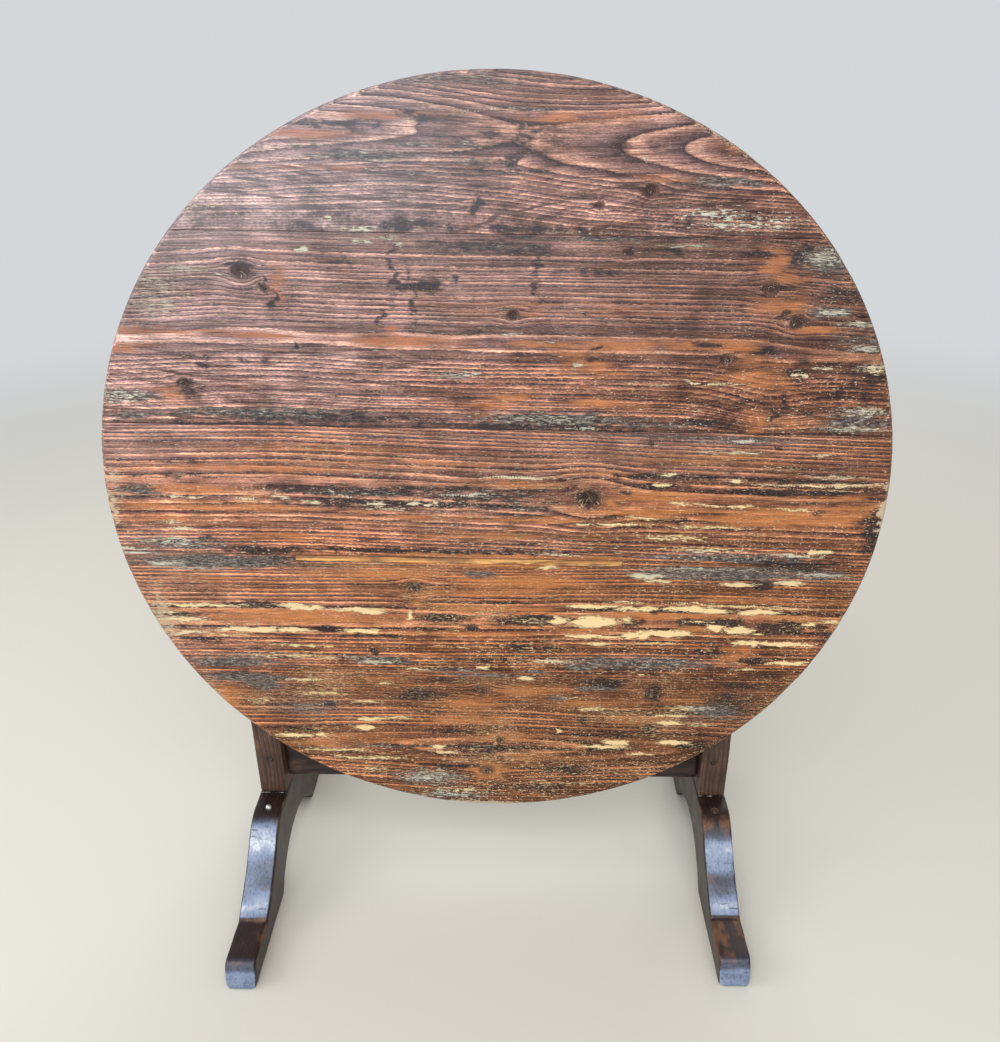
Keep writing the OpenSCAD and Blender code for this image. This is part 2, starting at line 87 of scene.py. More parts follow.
class Field:
    """A value or colour that varies over a surface, from a shader node; sums of fields make more nodes."""

    def __init__(self, socket):
        self.socket = socket
        self.nodes = socket.id_data.nodes

    def math(self, operation, *others):
        """The result of an operation on this value and the others."""
        return add(self.nodes, "Math", enumerate((self, *others)), operation=operation)

    def __add__(self, other):
        return self.math("ADD", other)

    def __sub__(self, other):
        return self.math("SUBTRACT", other)

    def __rsub__(self, other):
        return add(self.nodes, "Math", {0: other, 1: self}, operation="SUBTRACT")

    def __mul__(self, other):
        return self.math("MULTIPLY", other)

    def __truediv__(self, other):
        return self.math("DIVIDE", other)

    def part(self, axis):
        """One coordinate of a place."""
        return add(self.nodes, "SeparateXYZ", {0: self}, axis)

    def between(self, first, second):
        """The first colour where this is 0, the second where it is 1."""
        return add(self.nodes, "MixRGB", {0: self, 1: first, 2: second})

    def tinted(self, colour):
        """This colour times another one."""
        return add(self.nodes, "MixRGB", {0: 1.0, 1: self, 2: colour}, blend_type="MULTIPLY")

    def ramp(self, *stops):
        """A colour ramp with stops of (place, colour or grey)."""
        made = add(self.nodes, "ValToRGB", {0: self})
        elements = made.socket.node.color_ramp.elements
        while len(elements) < len(stops):
            elements.new(0.5)
        for element, (at, colour) in zip(elements, stops):
            element.position = at
            element.color = (*colour, 1) if isinstance(colour, tuple) else (colour, colour, colour, 1)
        return made

    def into(self, socket):
        """Links this to an input of a node."""
        self.nodes.id_data.links.new(self.socket, socket)


def add(nodes, kind, inputs=(), output=0, **settings):
    """A shader node with its settings, constants and links, as the field that comes out of it."""
    made = nodes.new("ShaderNode" + kind)
    for key, value in settings.items():
        setattr(made, key, value)
    for key, value in dict(inputs).items():
        if isinstance(value, Field):
            value.into(made.inputs[key])
        elif made.inputs[key].type == "RGBA":
            made.inputs[key].default_value = (*value, 1)
        else:
            made.inputs[key].default_value = value
    return Field(made.outputs[output])


def seen(nodes):
    """1 for what the camera sees, also in a gloss or through glass, and 0 for light on its way."""
    camera, gloss, glass = [add(nodes, "LightPath", output="Is %s Ray" % kind)
                            for kind in ("Camera", "Glossy", "Transmission")]
    return camera.math("MAXIMUM", gloss.math("MAXIMUM", glass))


bpy.ops.mesh.primitive_plane_add(size=FLOOR_SIZE)
floor = bpy.context.object
floor.name = "floor"
floor_paint = bpy.data.materials.new("floor_paint")
floor_paint.use_nodes = True
nodes = floor_paint.node_tree.nodes
painted = nodes["Principled BSDF"]
painted.inputs["Base Color"].default_value = (*FLOOR_COLOUR, 1)
painted.inputs["Roughness"].default_value = 0.9
place = add(nodes, "NewGeometry", output="Position")
from_middle = add(nodes, "VectorMath", {0: place}, "Value", operation="LENGTH")
fade = {0: from_middle, 1: FLOOR_FADE_FROM, 2: FLOOR_FADE_TO}
faded = add(nodes, "MapRange", fade, interpolation_type="SMOOTHSTEP")
far = add(nodes, "Emission", {"Color": FAR_COLOUR})
mixed = add(nodes, "MixShader", {0: faded * seen(nodes), 1: Field(painted.outputs[0]), 2: far})
mixed.into(nodes["Material Output"].inputs["Surface"])
floor.data.materials.append(floor_paint)

world = bpy.data.worlds.new("room_light")
bpy.context.scene.world = world
world.use_nodes = True
nodes = world.node_tree.nodes
sky = nodes["Background"]
sky.inputs["Color"].default_value = (*SKY_COLOUR, 1)
sky.inputs["Strength"].default_value = SKY_STRENGTH
far = add(nodes, "Background", {"Color": FAR_COLOUR, "Strength": 1.0})
mixed = add(nodes, "MixShader", {0: seen(nodes), 1: Field(sky.outputs[0]), 2: far})
mixed.into(nodes["World Output"].inputs["Surface"])

# The feet: two long blocks of hardwood, sawn to an S-shaped slope with a lip and a flat toe at each
# end and an arch below. Stained near black, they are polished by shoes on the slopes and noses; the
# slopes and lips also carry painted highlights and a painted bluish sheen of reflected light.
SLOPE_FROM, SLOPE_TO = {"foot_left": 76, "foot_right": 95}, 206
LIP_FROM, NOSE_FROM = 268, 284
# Painted highlight bands on the slopes: distance from the middle, half width and strength.
PAINTED_HIGHLIGHT_BANDS = {"foot_left": [(100, 9, 0.28), (119, 11, 0.40), (190, 10, 0.38)],
                "foot_right": [(122, 11, 0.32), (190, 11, 0.24)]}
# How strong the painted bluish sheen on each foot's slope is at the least.
SLOPE_SHEEN = {"foot_left": 0.31, "foot_right": 0.27}
TOE_WORN = {"foot_left": 0.1, "foot_right": 0.75}
FOOT_COLOURS = (0.010, 0.005, 0.004), (0.016, 0.007, 0.006), (0.027, 0.010, 0.008), (0.15, 0.062, 0.026)
GRAIN_TO_BACK = (0, 0, math.radians(90))
# The polish colours: dark, then a painted bluish sheen of reflected light, then a painted pale highlight.
POLISH_AND_SHEEN = ((0.1, (0.060, 0.060, 0.085)), (0.55, (0.215, 0.260, 0.375)),
               (0.80, (0.35, 0.39, 0.49)), (1.0, (0.66, 0.67, 0.72)))


def cloud(x, y, long, across, seed):
    """Smooth noise from 0 to 1: its lumps are about long by across. Both places are moved on by 640 lumps,
    so that they stay above 0."""
    table = np.random.default_rng(seed).random((64, 64))
    a, b = x / long + 640, y / across + 640
    i, j = np.floor(a).astype(int), np.floor(b).astype(int)
    p, q = a - i, b - j
    p, q = p * p * (3 - 2 * p), q * q * (3 - 2 * q)
    left = table[i % 64, j % 64] * (1 - q) + table[i % 64, (j + 1) % 64] * q
    right = table[(i + 1) % 64, j % 64] * (1 - q) + table[(i + 1) % 64, (j + 1) % 64] * q
    return left * (1 - p) + right * p


def rising(values, start, over):
    """0 up to start, then up to 1 over a stretch; falling where the stretch is negative."""
    return np.clip((values - start) / over, 0, 1)


def worn_copy(node, fine, smooth, seed, wear, lump, bores=()):
    """A CAD node's shape as an even mesh with points about fine mm apart, smoothed a few times and worn by
    up to 1.5 times wear mm in patches of lump mm. Bores, as (axis, centre, radius) in mm, keep their
    width. Returned are the piece, the places of its points in mm and their normals."""
    made = bpy.data.objects.new(node + "_worn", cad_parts[node].data.copy())
    bpy.context.scene.collection.objects.link(made)
    even = made.modifiers.new("even", "REMESH")
    even.mode = "VOXEL"
    even.voxel_size = fine / 1000
    soft = made.modifiers.new("soft", "SMOOTH")
    soft.factor = 0.5
    soft.iterations = smooth
    mesh = bpy.data.meshes.new_from_object(made.evaluated_get(bpy.context.evaluated_depsgraph_get()))
    made.modifiers.clear()
    made.data = mesh
    at, normal = np.empty(len(mesh.vertices) * 3), np.empty(len(mesh.vertices) * 3)
    mesh.vertices.foreach_get("co", at)
    mesh.vertices.foreach_get("normal", normal)
    at, normal = at.reshape(-1, 3) * 1000, normal.reshape(-1, 3)
    x, y, z = at.T
    loss = wear * cloud(x + y * 0.7, z + y * 0.7, lump, lump, seed)
    loss += wear * 0.5 * cloud(x - z, y - z, lump / 3, lump / 3, seed + 1)
    at -= normal * loss[:, None]
    for axis, centre, radius in bores:
        across = [k for k in range(3) if k != axis]
        off = at[:, across] - centre
        away = np.hypot(*off.T)
        inside = away < radius
        at[np.ix_(inside, across)] = centre + off[inside] * (radius / away[inside])[:, None]
    mesh.vertices.foreach_set("co", (at / 1000).ravel())
    mesh.polygons.foreach_set("use_smooth", [True] * len(mesh.polygons))
    mesh.update()
    return made, at, normal


def edges_of(normal):
    """1 where a face turns over an edge, 0 on the flats, where the largest part of the normal is near 1."""
    return np.clip(1.25 - abs(abs(normal).max(1) - 0.78) * 5.5, 0, 1)


def dress(made, material, **marks):
    """Keep the marks on the points of a mesh, for its material to read."""
    for key, values in marks.items():
        attribute = made.data.attributes.new(key, "FLOAT", "POINT")
        attribute.data.foreach_set("value", values.astype(np.float32))
    made.data.materials.clear()
    made.data.materials.append(material)


def new_material(name):
    """A material, its nodes and the inputs of its shader."""
    material = bpy.data.materials.new(name)
    material.use_nodes = True
    return material, material.node_tree.nodes, material.node_tree.nodes["Principled BSDF"].inputs


def mark(nodes, name):
    """A mark that is kept on the points of the mesh."""
    return add(nodes, "Attribute", output="Fac", attribute_name=name)


def noise(nodes, place, detail, rough, scale=1.0):
    """Smooth noise from 0 to 1 with scale lumps for each unit of the place."""
    inputs = {"Vector": place, "Scale": scale, "Detail": detail, "Roughness": rough}
    return add(nodes, "TexNoise", inputs)


def stained_wood(name, turn, colours, gloss, ring, heart, shine=()):
    """Stained wood with its grain along X after the turn. The mark worn shows the last colour; where there
    is a shine, the polish mark lays the colours of the shine over the wood, as real polish and as painted
    highlights and a painted sheen."""
    line, dark, light, rubbed = colours
    material, nodes, shader = new_material(name)

    def lumps(steps, detail=4):
        inputs = {"Vector": place, "Scale": tuple(1 / step for step in steps)}
        return noise(nodes, add(nodes, "Mapping", inputs), detail, 0.62)

    place = add(nodes, "TexCoord", output="Object")
    place = add(nodes, "Mapping", {"Vector": place, "Rotation": turn})
    off = add(nodes, "CombineXYZ", {1: place.part(1) - heart[0], 2: place.part(2) - heart[1]})
    away = add(nodes, "VectorMath", {0: off}, "Value", operation="LENGTH")
    tooth = (away / ring + lumps((0.16, 0.05, 0.05), 2) * 2.4).math("FRACT")
    strands, patches = lumps((0.06, 0.0022, 0.0022)), lumps((0.045, 0.045, 0.045))
    wood = tooth.ramp((0, line), (0.15, dark), (0.88, light), (1, dark))
    wood = wood.tinted(strands.ramp((0.28, 0.6), (0.5, 1.0), (0.72, 1.6)))
    wood = wood.tinted(patches.ramp((0.3, 0.55), (0.5, 1.0), (0.7, 1.6)))
    bare = (patches + mark(nodes, "worn") * 0.35).ramp((0.62, 0.0), (0.8, 0.9))
    wood = bare.between(wood, strands.ramp((0.3, 0.5), (0.7, 1.5)).tinted(rubbed))
    satin, height = patches, strands + tooth * 0.4
    if shine:
        # The shine is painted highlights and sheen, with brush marks and cracks, laid over real polish.
        brushed = lumps((0.035, 0.0035, 0.0035)).ramp((0.3, 0.6), (0.5, 0.9), (0.7, 1.0))
        polish = mark(nodes, "polish") * brushed
        wood = polish.ramp((0.05, 0.0), (0.5, 1.0)).between(wood, polish.ramp(*shine))
        cracks = mark(nodes, "polish") * lumps((0.0035, 0.035, 0.0035)).ramp((0.30, 1.0), (0.36, 0.0))
        wood = cracks.between(wood, line)
        satin, height = satin - polish * 0.35, height - cracks
    wood.into(shader["Base Color"])
    satin.ramp((0.1, gloss[0]), (0.7, gloss[1])).into(shader["Roughness"])
    bump = {"Height": height, "Distance": 0.0005, "Strength": 0.5}
    add(nodes, "Bump", bump).into(shader["Normal"])
    return material


black_foot = stained_wood("black_foot", GRAIN_TO_BACK, FOOT_COLOURS,
                          gloss=(0.22, 0.44), ring=0.006, heart=(0.06, 0.03), shine=POLISH_AND_SHEEN)
black_foot.node_tree.nodes["Principled BSDF"].inputs["Specular IOR Level"].default_value = 0.34
for seed, node in enumerate(PAINTED_HIGHLIGHT_BANDS):
    foot, at, normal = worn_copy(node, fine=2.6, smooth=6, seed=30 + seed, wear=0.6, lump=26)
    low, high = np.array(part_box(node)) * 1000
    front = abs(at[:, 1] - (low[1] + high[1]) / 2)
    top = rising(normal[:, 2], -0.15, 0.5) * np.clip(1.5 - abs(normal[:, 0]) * 2.2, 0, 1)
    # Painted light on the slopes: a bluish sheen with highlight bands. The noses are worn, partly at their
    # edges.
    slope_sheen = SLOPE_SHEEN[node] + 0.5 * cloud(at[:, 0], front, 60, 16, 44 + seed)
    patchy = 0.4 + 0.9 * cloud(at[:, 0], front, 14, 6, 48 + seed)
    for middle, half, strength in PAINTED_HIGHLIGHT_BANDS[node]:
        slope_sheen = slope_sheen + strength * patchy * np.exp(-(((front - middle) / half) ** 2))
    slope = rising(front, SLOPE_FROM[node], 22) * rising(front, SLOPE_TO, -3) * top * slope_sheen
    nose = rising(front, NOSE_FROM, 5) * rising(abs(normal[:, 1]), 0.35, 0.25)
    nose *= 0.38 + 0.25 * cloud(at[:, 0], at[:, 2], 16, 9, 46 + seed) + 0.3 * edges_of(normal)
    # A painted highlight along the lip.
    lip = 0.5 * rising(front, LIP_FROM, 24) * top
    toe = rising(front, SLOPE_TO, 6) * rising(normal[:, 2], 0.8, 0.2) * TOE_WORN[node]
    rubbing = np.clip(1.3 * cloud(at[:, 0], at[:, 1], 8, 15, 40 + seed) - 0.1, 0, 1)
    worn = np.maximum(edges_of(normal), toe) * rubbing
    dress(foot, black_foot, polish=np.maximum(np.maximum(slope, nose), lip), worn=worn)
    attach(foot, "trestle")
    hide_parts(node)

# The posts: square uprights of brown stained hardwood, tenoned into the feet and rounded over at the
# top. The pins of the top turn in a bore through each, and pale filler shows where they meet the feet.
PIVOT_YZ = (0, 676)
PIN_BORE_R = 11.3
GRAIN_UPRIGHT = (0, math.radians(90), 0)
POST_COLOURS = (0.030, 0.014, 0.010), (0.056, 0.027, 0.018), (0.098, 0.046, 0.028), (0.17, 0.085, 0.050)
FILLER_GREYS = (0.35, (0.22, 0.18, 0.15)), (0.5, (0.52, 0.50, 0.47)), (0.7, (0.72, 0.70, 0.67))
FILLER_R = 0.75
FILLER_RINGS, FILLER_SIDES = 90, 8

brown_post = stained_wood("brown_post", GRAIN_UPRIGHT, POST_COLOURS,
                          gloss=(0.45, 0.65), ring=0.007, heart=(0.05, 0.09))
for seed, node in enumerate(("post_left", "post_right")):
    post, at, normal = worn_copy(node, fine=2.8, smooth=2, seed=50 + seed, wear=0.5, lump=30,
                                 bores=[(0, PIVOT_YZ, PIN_BORE_R)])
    dress(post, brown_post, worn=edges_of(normal) * 0.6)
    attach(post, "trestle")
    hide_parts(node)

# The filler is a thin bead, now thick and now thin, along the front of each post where it meets the foot.
white_filler, nodes, shader = new_material("white_filler")
lumps = noise(nodes, add(nodes, "TexCoord", output="Object"), 4.0, 0.5, 900.0)
lumps.ramp(*FILLER_GREYS).into(shader["Base Color"])
shader["Roughness"].default_value = 0.9
for seed, node in enumerate(("post_left", "post_right")):
    low, high = np.array(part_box(node)) * 1000
    foot_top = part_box(node.replace("post", "foot"))[1][2] * 1000
    along = np.linspace(low[0] + 1, high[0] - 1, FILLER_RINGS)
    thick = 1.5 * cloud(along, along * 0, 5, 1, 70 + seed) + 0.5 * cloud(along, along * 0, 1.6, 1, 72 + seed)
    reach = FILLER_R * np.clip(thick - 0.8, 0.02, 1.3)[:, None]
    turn = np.linspace(0, 2 * math.pi, FILLER_SIDES + 1)[:-1]
    points = np.stack([along[:, None] + 0 * turn, low[1] - 0.1 + reach * np.cos(turn),
                       foot_top + 0.2 + reach * np.sin(turn)], 2).reshape(-1, 3) / 1000
    k = np.arange(FILLER_SIDES)
    k1 = (k + 1) % FILLER_SIDES
    last = (FILLER_RINGS - 1) * FILLER_SIDES
    faces = [k[::-1].tolist(), (last + k).tolist()]
    for start in range(0, last, FILLER_SIDES):
        faces += (start + np.column_stack([k, k1, k1 + FILLER_SIDES, k + FILLER_SIDES])).tolist()
    mesh = bpy.data.meshes.new("filler_" + node)
    mesh.from_pydata(points.tolist(), [], faces)
    mesh.polygons.foreach_set("use_smooth", [True] * len(faces))
    mesh.materials.append(white_filler)
    filler = bpy.data.objects.new("filler_" + node, mesh)
    bpy.context.scene.collection.objects.link(filler)
    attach(filler, "trestle")

# The rails: two boards of dark stained wood between the posts, set back from their faces and tenoned
# in. The gate's round ends turn in a bore in the middle of each.
GATE_BORE_R = 8.3
GATE_XY = (-11, 0)
GRAIN_LEVEL = (0, 0, 0)
RAIL_COLOURS = (0.010, 0.006, 0.006), (0.024, 0.013, 0.013), (0.052, 0.028, 0.026), (0.13, 0.065, 0.042)

dark_rail = stained_wood("dark_rail", GRAIN_LEVEL, RAIL_COLOURS,
                         gloss=(0.36, 0.55), ring=0.007, heart=(0.05, 0.2))
for seed, node in enumerate(("lower_rail", "upper_rail")):
    rail, at, normal = worn_copy(node, fine=2.8, smooth=2, seed=60 + seed, wear=0.5, lump=30,
                                 bores=[(2, GATE_XY, GATE_BORE_R)])
    dress(rail, dark_rail, worn=edges_of(normal) * 0.4)
    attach(rail, "trestle")
    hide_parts(node)

# The pegs: oak dowels driven through the tenons, their ends standing a little proud. One is flush in
# the right foot's shoulder.
PEG_COLOURS = (0.008, 0.005, 0.005), (0.030, 0.015, 0.011), (0.075, 0.036, 0.024), (0.12, 0.06, 0.04)
PEG_BODIES = {"rail_pegs": "trestle", "foot_peg": "trestle", "gate_pegs": "gate"}

dark_peg = stained_wood("dark_peg", GRAIN_TO_BACK, PEG_COLOURS,
                        gloss=(0.40, 0.60), ring=0.0016, heart=(0.001, 0.001))
for seed, (node, body) in enumerate(PEG_BODIES.items()):
    pegs, at, normal = worn_copy(node, fine=0.9, smooth=1, seed=80 + seed, wear=0.15, lump=5)
    dress(pegs, dark_peg, worn=edges_of(normal) * 0.3)
    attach(pegs, body)
    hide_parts(node)

# The foot's nail: wrought iron with a domed head, hammered into the left foot's shoulder and rubbed
# bright on top.


def bare_metal(name, colour, tarnish, rough):
    """Worn iron: bright in patches, darker and rougher between them."""
    material, nodes, shader = new_material(name)
    place = add(nodes, "TexCoord", output="Object")
    spots = noise(nodes, place, 5.0, 0.65, 420.0)
    spots.ramp((0.38, tarnish), (0.6, colour)).into(shader["Base Color"])
    spots.ramp((0.35, rough + 0.3), (0.65, rough)).into(shader["Roughness"])
    shader["Metallic"].default_value = 1.0
    dents = noise(nodes, place, 2.0, 0.5, 160.0)
    add(nodes, "Bump", {"Height": dents, "Distance": 0.0006, "Strength": 0.5}).into(shader["Normal"])
    return material


iron_nail = bare_metal("iron_nail", colour=(0.62, 0.60, 0.57), tarnish=(0.20, 0.16, 0.13), rough=0.28)
nail, at, normal = worn_copy("foot_nail", fine=0.7, smooth=3, seed=84, wear=0.25, lump=4)
dress(nail, iron_nail)
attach(nail, "trestle")
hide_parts("foot_nail")

# The gate: an upright stile with round ends that turn in the rails, and a wing pegged onto it. The
# wing folds flat between the posts, and swung out to the back it carries the level top.
GATE_COLOURS = (0.022, 0.011, 0.009), (0.060, 0.027, 0.018), (0.150, 0.066, 0.038), (0.22, 0.12, 0.07)

brown_stile = stained_wood("brown_stile", GRAIN_UPRIGHT, GATE_COLOURS,
                           gloss=(0.42, 0.62), ring=0.007, heart=(0.04, 0.06))
brown_wing = stained_wood("brown_wing", GRAIN_LEVEL, GATE_COLOURS,
                          gloss=(0.42, 0.62), ring=0.007, heart=(0.05, 0.50))
for seed, (node, wood) in enumerate({"gate_stile": brown_stile, "gate_wing": brown_wing}.items()):
    bar, at, normal = worn_copy(node, fine=2.2, smooth=2, seed=90 + seed, wear=0.4, lump=24)
    dress(bar, wood, worn=edges_of(normal) * 0.7)
    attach(bar, "gate")
    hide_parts(node)

# The boards of the top: five pine boards, planed, stained dark and worn, tongued and grooved together
# and sawn round as one. First what they share: the form, the figure of the grain, the marks and the
# stain. Then each board, with its own knots and marks.

# Sizes are in mm: u runs along the boards and s across them, both from the middle of the top, and
# depth goes back from the face. The joints lie at these s, and the radius is a hair inside the solids'.
TOP_R = 549.9
TOP_CENTRE_Z = 696
FACE_Y = -65.5
BOARD_SLOPE = math.radians(1.1)
BOARD_T = 30
JOINTS = (366, 111, -87, -285)
JOINT_GAP = 0.5
JOINT_EASE = 1.2
RIM_ROUND = 6
RIM_EASE = 3
TONGUE_REACH = 9.5
GROOVE_DEEP = 9.3
STRIP_BOARD = 4
STRIP_MIDDLE = -51
STRIP_SPAN = 476.2
STRIP_WIDE = 9.1
STRIP_DEEP = 6
# How many points an edge has left of the strip, along it and right of it, and how far apart the points
# of the face and of the back are along and across.
NOTCH_POINTS = (81, 181, 99)
EDGE_POINTS = sum(NOTCH_POINTS)
FACE_STEPS, BACK_STEPS = (4.0, 1.6), (14.0, 9.0)
# How warm the wood shows, by u and by s, cool where a painted bluish sheen lies over it; and the painted
# light and shade on it, by u and by s: brighter at the left and above the middle, darker at the right and
# the bottom.
WARM_BY_S = (-400, 1.1), (-150, 0.97), (0, 0.76), (240, 0.34), (440, 0.12)
WARMER_BY_S = (0, 0.2), (330, 0.3), (420, 0.75)
PAINTED_LIGHT_BY_U = (-500, 1.30), (-250, 1.2), (0, 0.94), (500, 0.76)
PAINTED_LIGHT_BY_S = (-520, 0.74), (-300, 0.92), (-150, 1.08), (100, 1.22), (350, 1.16), (450, 1.12)


def track(points):
    """A smooth line through a few (u, value) points along a board."""
    along = np.arange(-640, 641, 5.0)
    values = np.interp(along, *zip(*points))
    bell = np.exp(-(np.arange(-12, 13) / 6.0) ** 2)
    values = np.convolve(np.pad(values, 12, "edge"), bell / bell.sum(), "valid")
    return lambda u: np.interp(u, along, values)


def spot(u, s, at_u, at_s, half_u, half_s):
    """1 at a place on a board, fading to 0 around it."""
    return np.exp(-((u - at_u) / half_u) ** 2 - ((s - at_s) / half_s) ** 2)


def grain_of(wood, seed, u, s, depth):
    """Ring number, knot strength and slant of the rings at points of a board. Knots bend the fibres round
    them, and lenses push the rings apart or together."""
    bent_s, knot = s.copy(), np.zeros_like(u)
    for at_u, at_s, size in wood["knots"]:
        away = np.hypot((u - at_u) / 1.35, s - at_s) / size
        bent_s = at_s + (bent_s - at_s) * (1 - 0.98 * np.exp(-((away / 2.1) ** 2)))
        knot = np.maximum(knot, np.clip(1.35 - away, 0, 1))
    heart, deep = track([p[:2] for p in wood["heart"]]), track([p[::2] for p in wood["heart"]])
    radius = np.hypot(bent_s - heart(u), deep(u) - depth)
    for at_u, at_s, half_u, half_s, rise in wood["lenses"]:
        radius = radius + rise * spot(u, s, at_u, at_s, half_u, half_s)
    radius = radius + wood["waver"] * (cloud(u, s, 170, 30, seed) + 0.5 * cloud(u, s, 60, 12, seed + 1))
    power = 1 + wood["tighter"]
    rings = wood["heart_r"] / wood["ring"] / power * (radius / wood["heart_r"]) ** power
    rings = rings + 1.3 * cloud(rings, np.zeros_like(rings), 2.7, 1, seed + 9)
    slant = np.clip(abs(bent_s - heart(u)) / radius, 0.12, 1)
    # Inside a knot the rings are the branch's own, close together.
    for at_u, at_s, size in wood["knots"]:
        away = np.hypot((u - at_u) / 1.15, s - at_s)
        inside = np.clip((1.12 - away / size) * 6, 0, 1)
        rings = rings * (1 - inside) + inside * (away / 2.3 + 0.3)
    return rings, knot, slant


def edge_line(level, radius, notch):
    """Points of a joint edge from left to right, lowered by the notch where the strip is let in."""
    end = math.sqrt(radius ** 2 - level ** 2)
    if not notch:
        u = np.linspace(-end, end, EDGE_POINTS)
        return np.column_stack([u, np.full_like(u, level)])
    left, right = STRIP_MIDDLE - STRIP_SPAN / 2, STRIP_MIDDLE + STRIP_SPAN / 2
    stretches = zip((-end, left, right), (left, right, end), NOTCH_POINTS)
    u = np.concatenate([np.linspace(*stretch) for stretch in stretches])
    return np.column_stack([u, level - np.repeat([0, notch, 0], NOTCH_POINTS)])


def rim_arc(start, end, radius, count):
    """Points of the round rim between two corners, counter-clockwise and without the corners."""
    first, last = math.atan2(start[1], start[0]), math.atan2(end[1], end[0])
    if last < first:
        last += 2 * math.pi
    turn = np.linspace(first, last, count)[1:-1]
    return radius * np.column_stack([np.cos(turn), np.sin(turn)])


def board_rows(number):
    """Outlines of a board at rising depths, all with the same number of points, counter-clockwise."""
    low = JOINTS[number - 1] + JOINT_GAP / 2 if number <= len(JOINTS) else None
    high = JOINTS[number - 2] - JOINT_GAP / 2 if number > 1 else None
    # Each row has its depth, how far the rim is in, and whether the tongue and the groove are there.
    turns = [math.radians(a) for a in (0, 15, 30, 45, 60, 75, 90)]
    plan = [(RIM_ROUND * (1 - math.cos(a)), RIM_ROUND * (1 - math.sin(a)), 0, 0) for a in turns]
    plan += [(6.05, 0, 0, 0), (8, 0, 0, 0), (10.7, 0, 0, 0), (10.75, 0, 0, 1), (11, 0, 0, 1),
             (11.05, 0, 1, 1), (15, 0, 1, 1), (18.95, 0, 1, 1), (19, 0, 0, 1), (19.25, 0, 0, 1),
             (19.3, 0, 0, 0), (23, 0, 0, 0), (27, 0, 0, 0), (28.5, 0.4, 0, 0), (29.5, 1.5, 0, 0),
             (BOARD_T, RIM_EASE, 0, 0)]
    rows = []
    for depth, rim_in, tongue, groove in plan:
        eased = JOINT_EASE - math.sqrt(max(JOINT_EASE ** 2 - max(JOINT_EASE - depth, 0) ** 2, 0))
        eased = max(eased, (depth - BOARD_T + 1) * 0.8)
        radius = TOP_R - rim_in
        if low is not None:
            bottom = edge_line(low + eased - TONGUE_REACH * tongue, radius, 0)
        if high is not None:
            notch = (STRIP_WIDE if depth <= STRIP_DEEP else 1e-6) if number == STRIP_BOARD else 0
            top = edge_line(high - eased - GROOVE_DEEP * groove, radius, notch)[::-1]
        if high is None:
            ring = [bottom, rim_arc(bottom[-1], bottom[0], radius, EDGE_POINTS)]
        elif low is None:
            ring = [rim_arc(top[-1], top[0], radius, EDGE_POINTS), top]
        else:
            count = int((high - low) / 3)
            ring = [bottom, rim_arc(bottom[-1], top[0], radius, count),
                    top, rim_arc(top[-1], bottom[0], radius, count)]
        rows.append((depth, np.vstack(ring)))
    return rows


def filled(ring, radius, notched, step_u, step_s):
    """Points and triangles of a flat sheet inside a closed outline; the outline's points come first."""
    low, high = ring.min(0), ring.max(0)
    lines = np.arange(low[1] + step_s / 2, high[1] - 0.7, step_s)
    u, s = np.meshgrid(np.arange(low[0], high[0], step_u), lines)
    u = u + step_u * 0.5 * (np.arange(len(u))[:, None] % 2)
    inside = np.hypot(u, s) < radius - step_s * 0.7
    if notched:
        inside &= (abs(u - STRIP_MIDDLE) > STRIP_SPAN / 2 + 1.5) | (s < high[1] - STRIP_WIDE - 1)
    points = np.vstack([ring, np.column_stack([u[inside], s[inside]])])
    loop = list(range(len(ring)))
    _, _, faces, origin, _, _ = delaunay_2d_cdt([Vector(p) for p in points], [], [loop], 1, 1e-4)
    index = np.array([o[0] if o else -1 for o in origin])
    triangles = index[np.array(faces)]
    return points[len(ring):], triangles[(triangles >= 0).all(1)]


def board_mesh(number):
    """The points of a board as u, s and depth, and its faces: two sheets and the rows between them."""
    rows = board_rows(number)
    n = len(rows[0][1])
    face, face_faces = filled(rows[0][1], TOP_R - RIM_ROUND, number == STRIP_BOARD, *FACE_STEPS)
    back, back_faces = filled(rows[-1][1], TOP_R - RIM_EASE, False, *BACK_STEPS)
    u, s = np.vstack([ring for _, ring in rows] + [face, back]).T
    depth = [np.full(n, d) for d, _ in rows] + [np.zeros(len(face)), np.full(len(back), float(BOARD_T))]
    face_at, back_at, last = len(rows) * n, len(rows) * n + len(face), (len(rows) - 1) * n
    faces = np.where(face_faces < n, face_faces, face_faces - n + face_at).tolist()
    faces += np.where(back_faces < n, back_faces + last, back_faces - n + back_at)[:, ::-1].tolist()
    k = np.arange(n)
    k1 = (k + 1) % n
    for row in range(0, last, n):
        faces += np.column_stack([row + k, row + n + k, row + n + k1, row + k1]).tolist()
    return u, s, np.concatenate(depth), faces


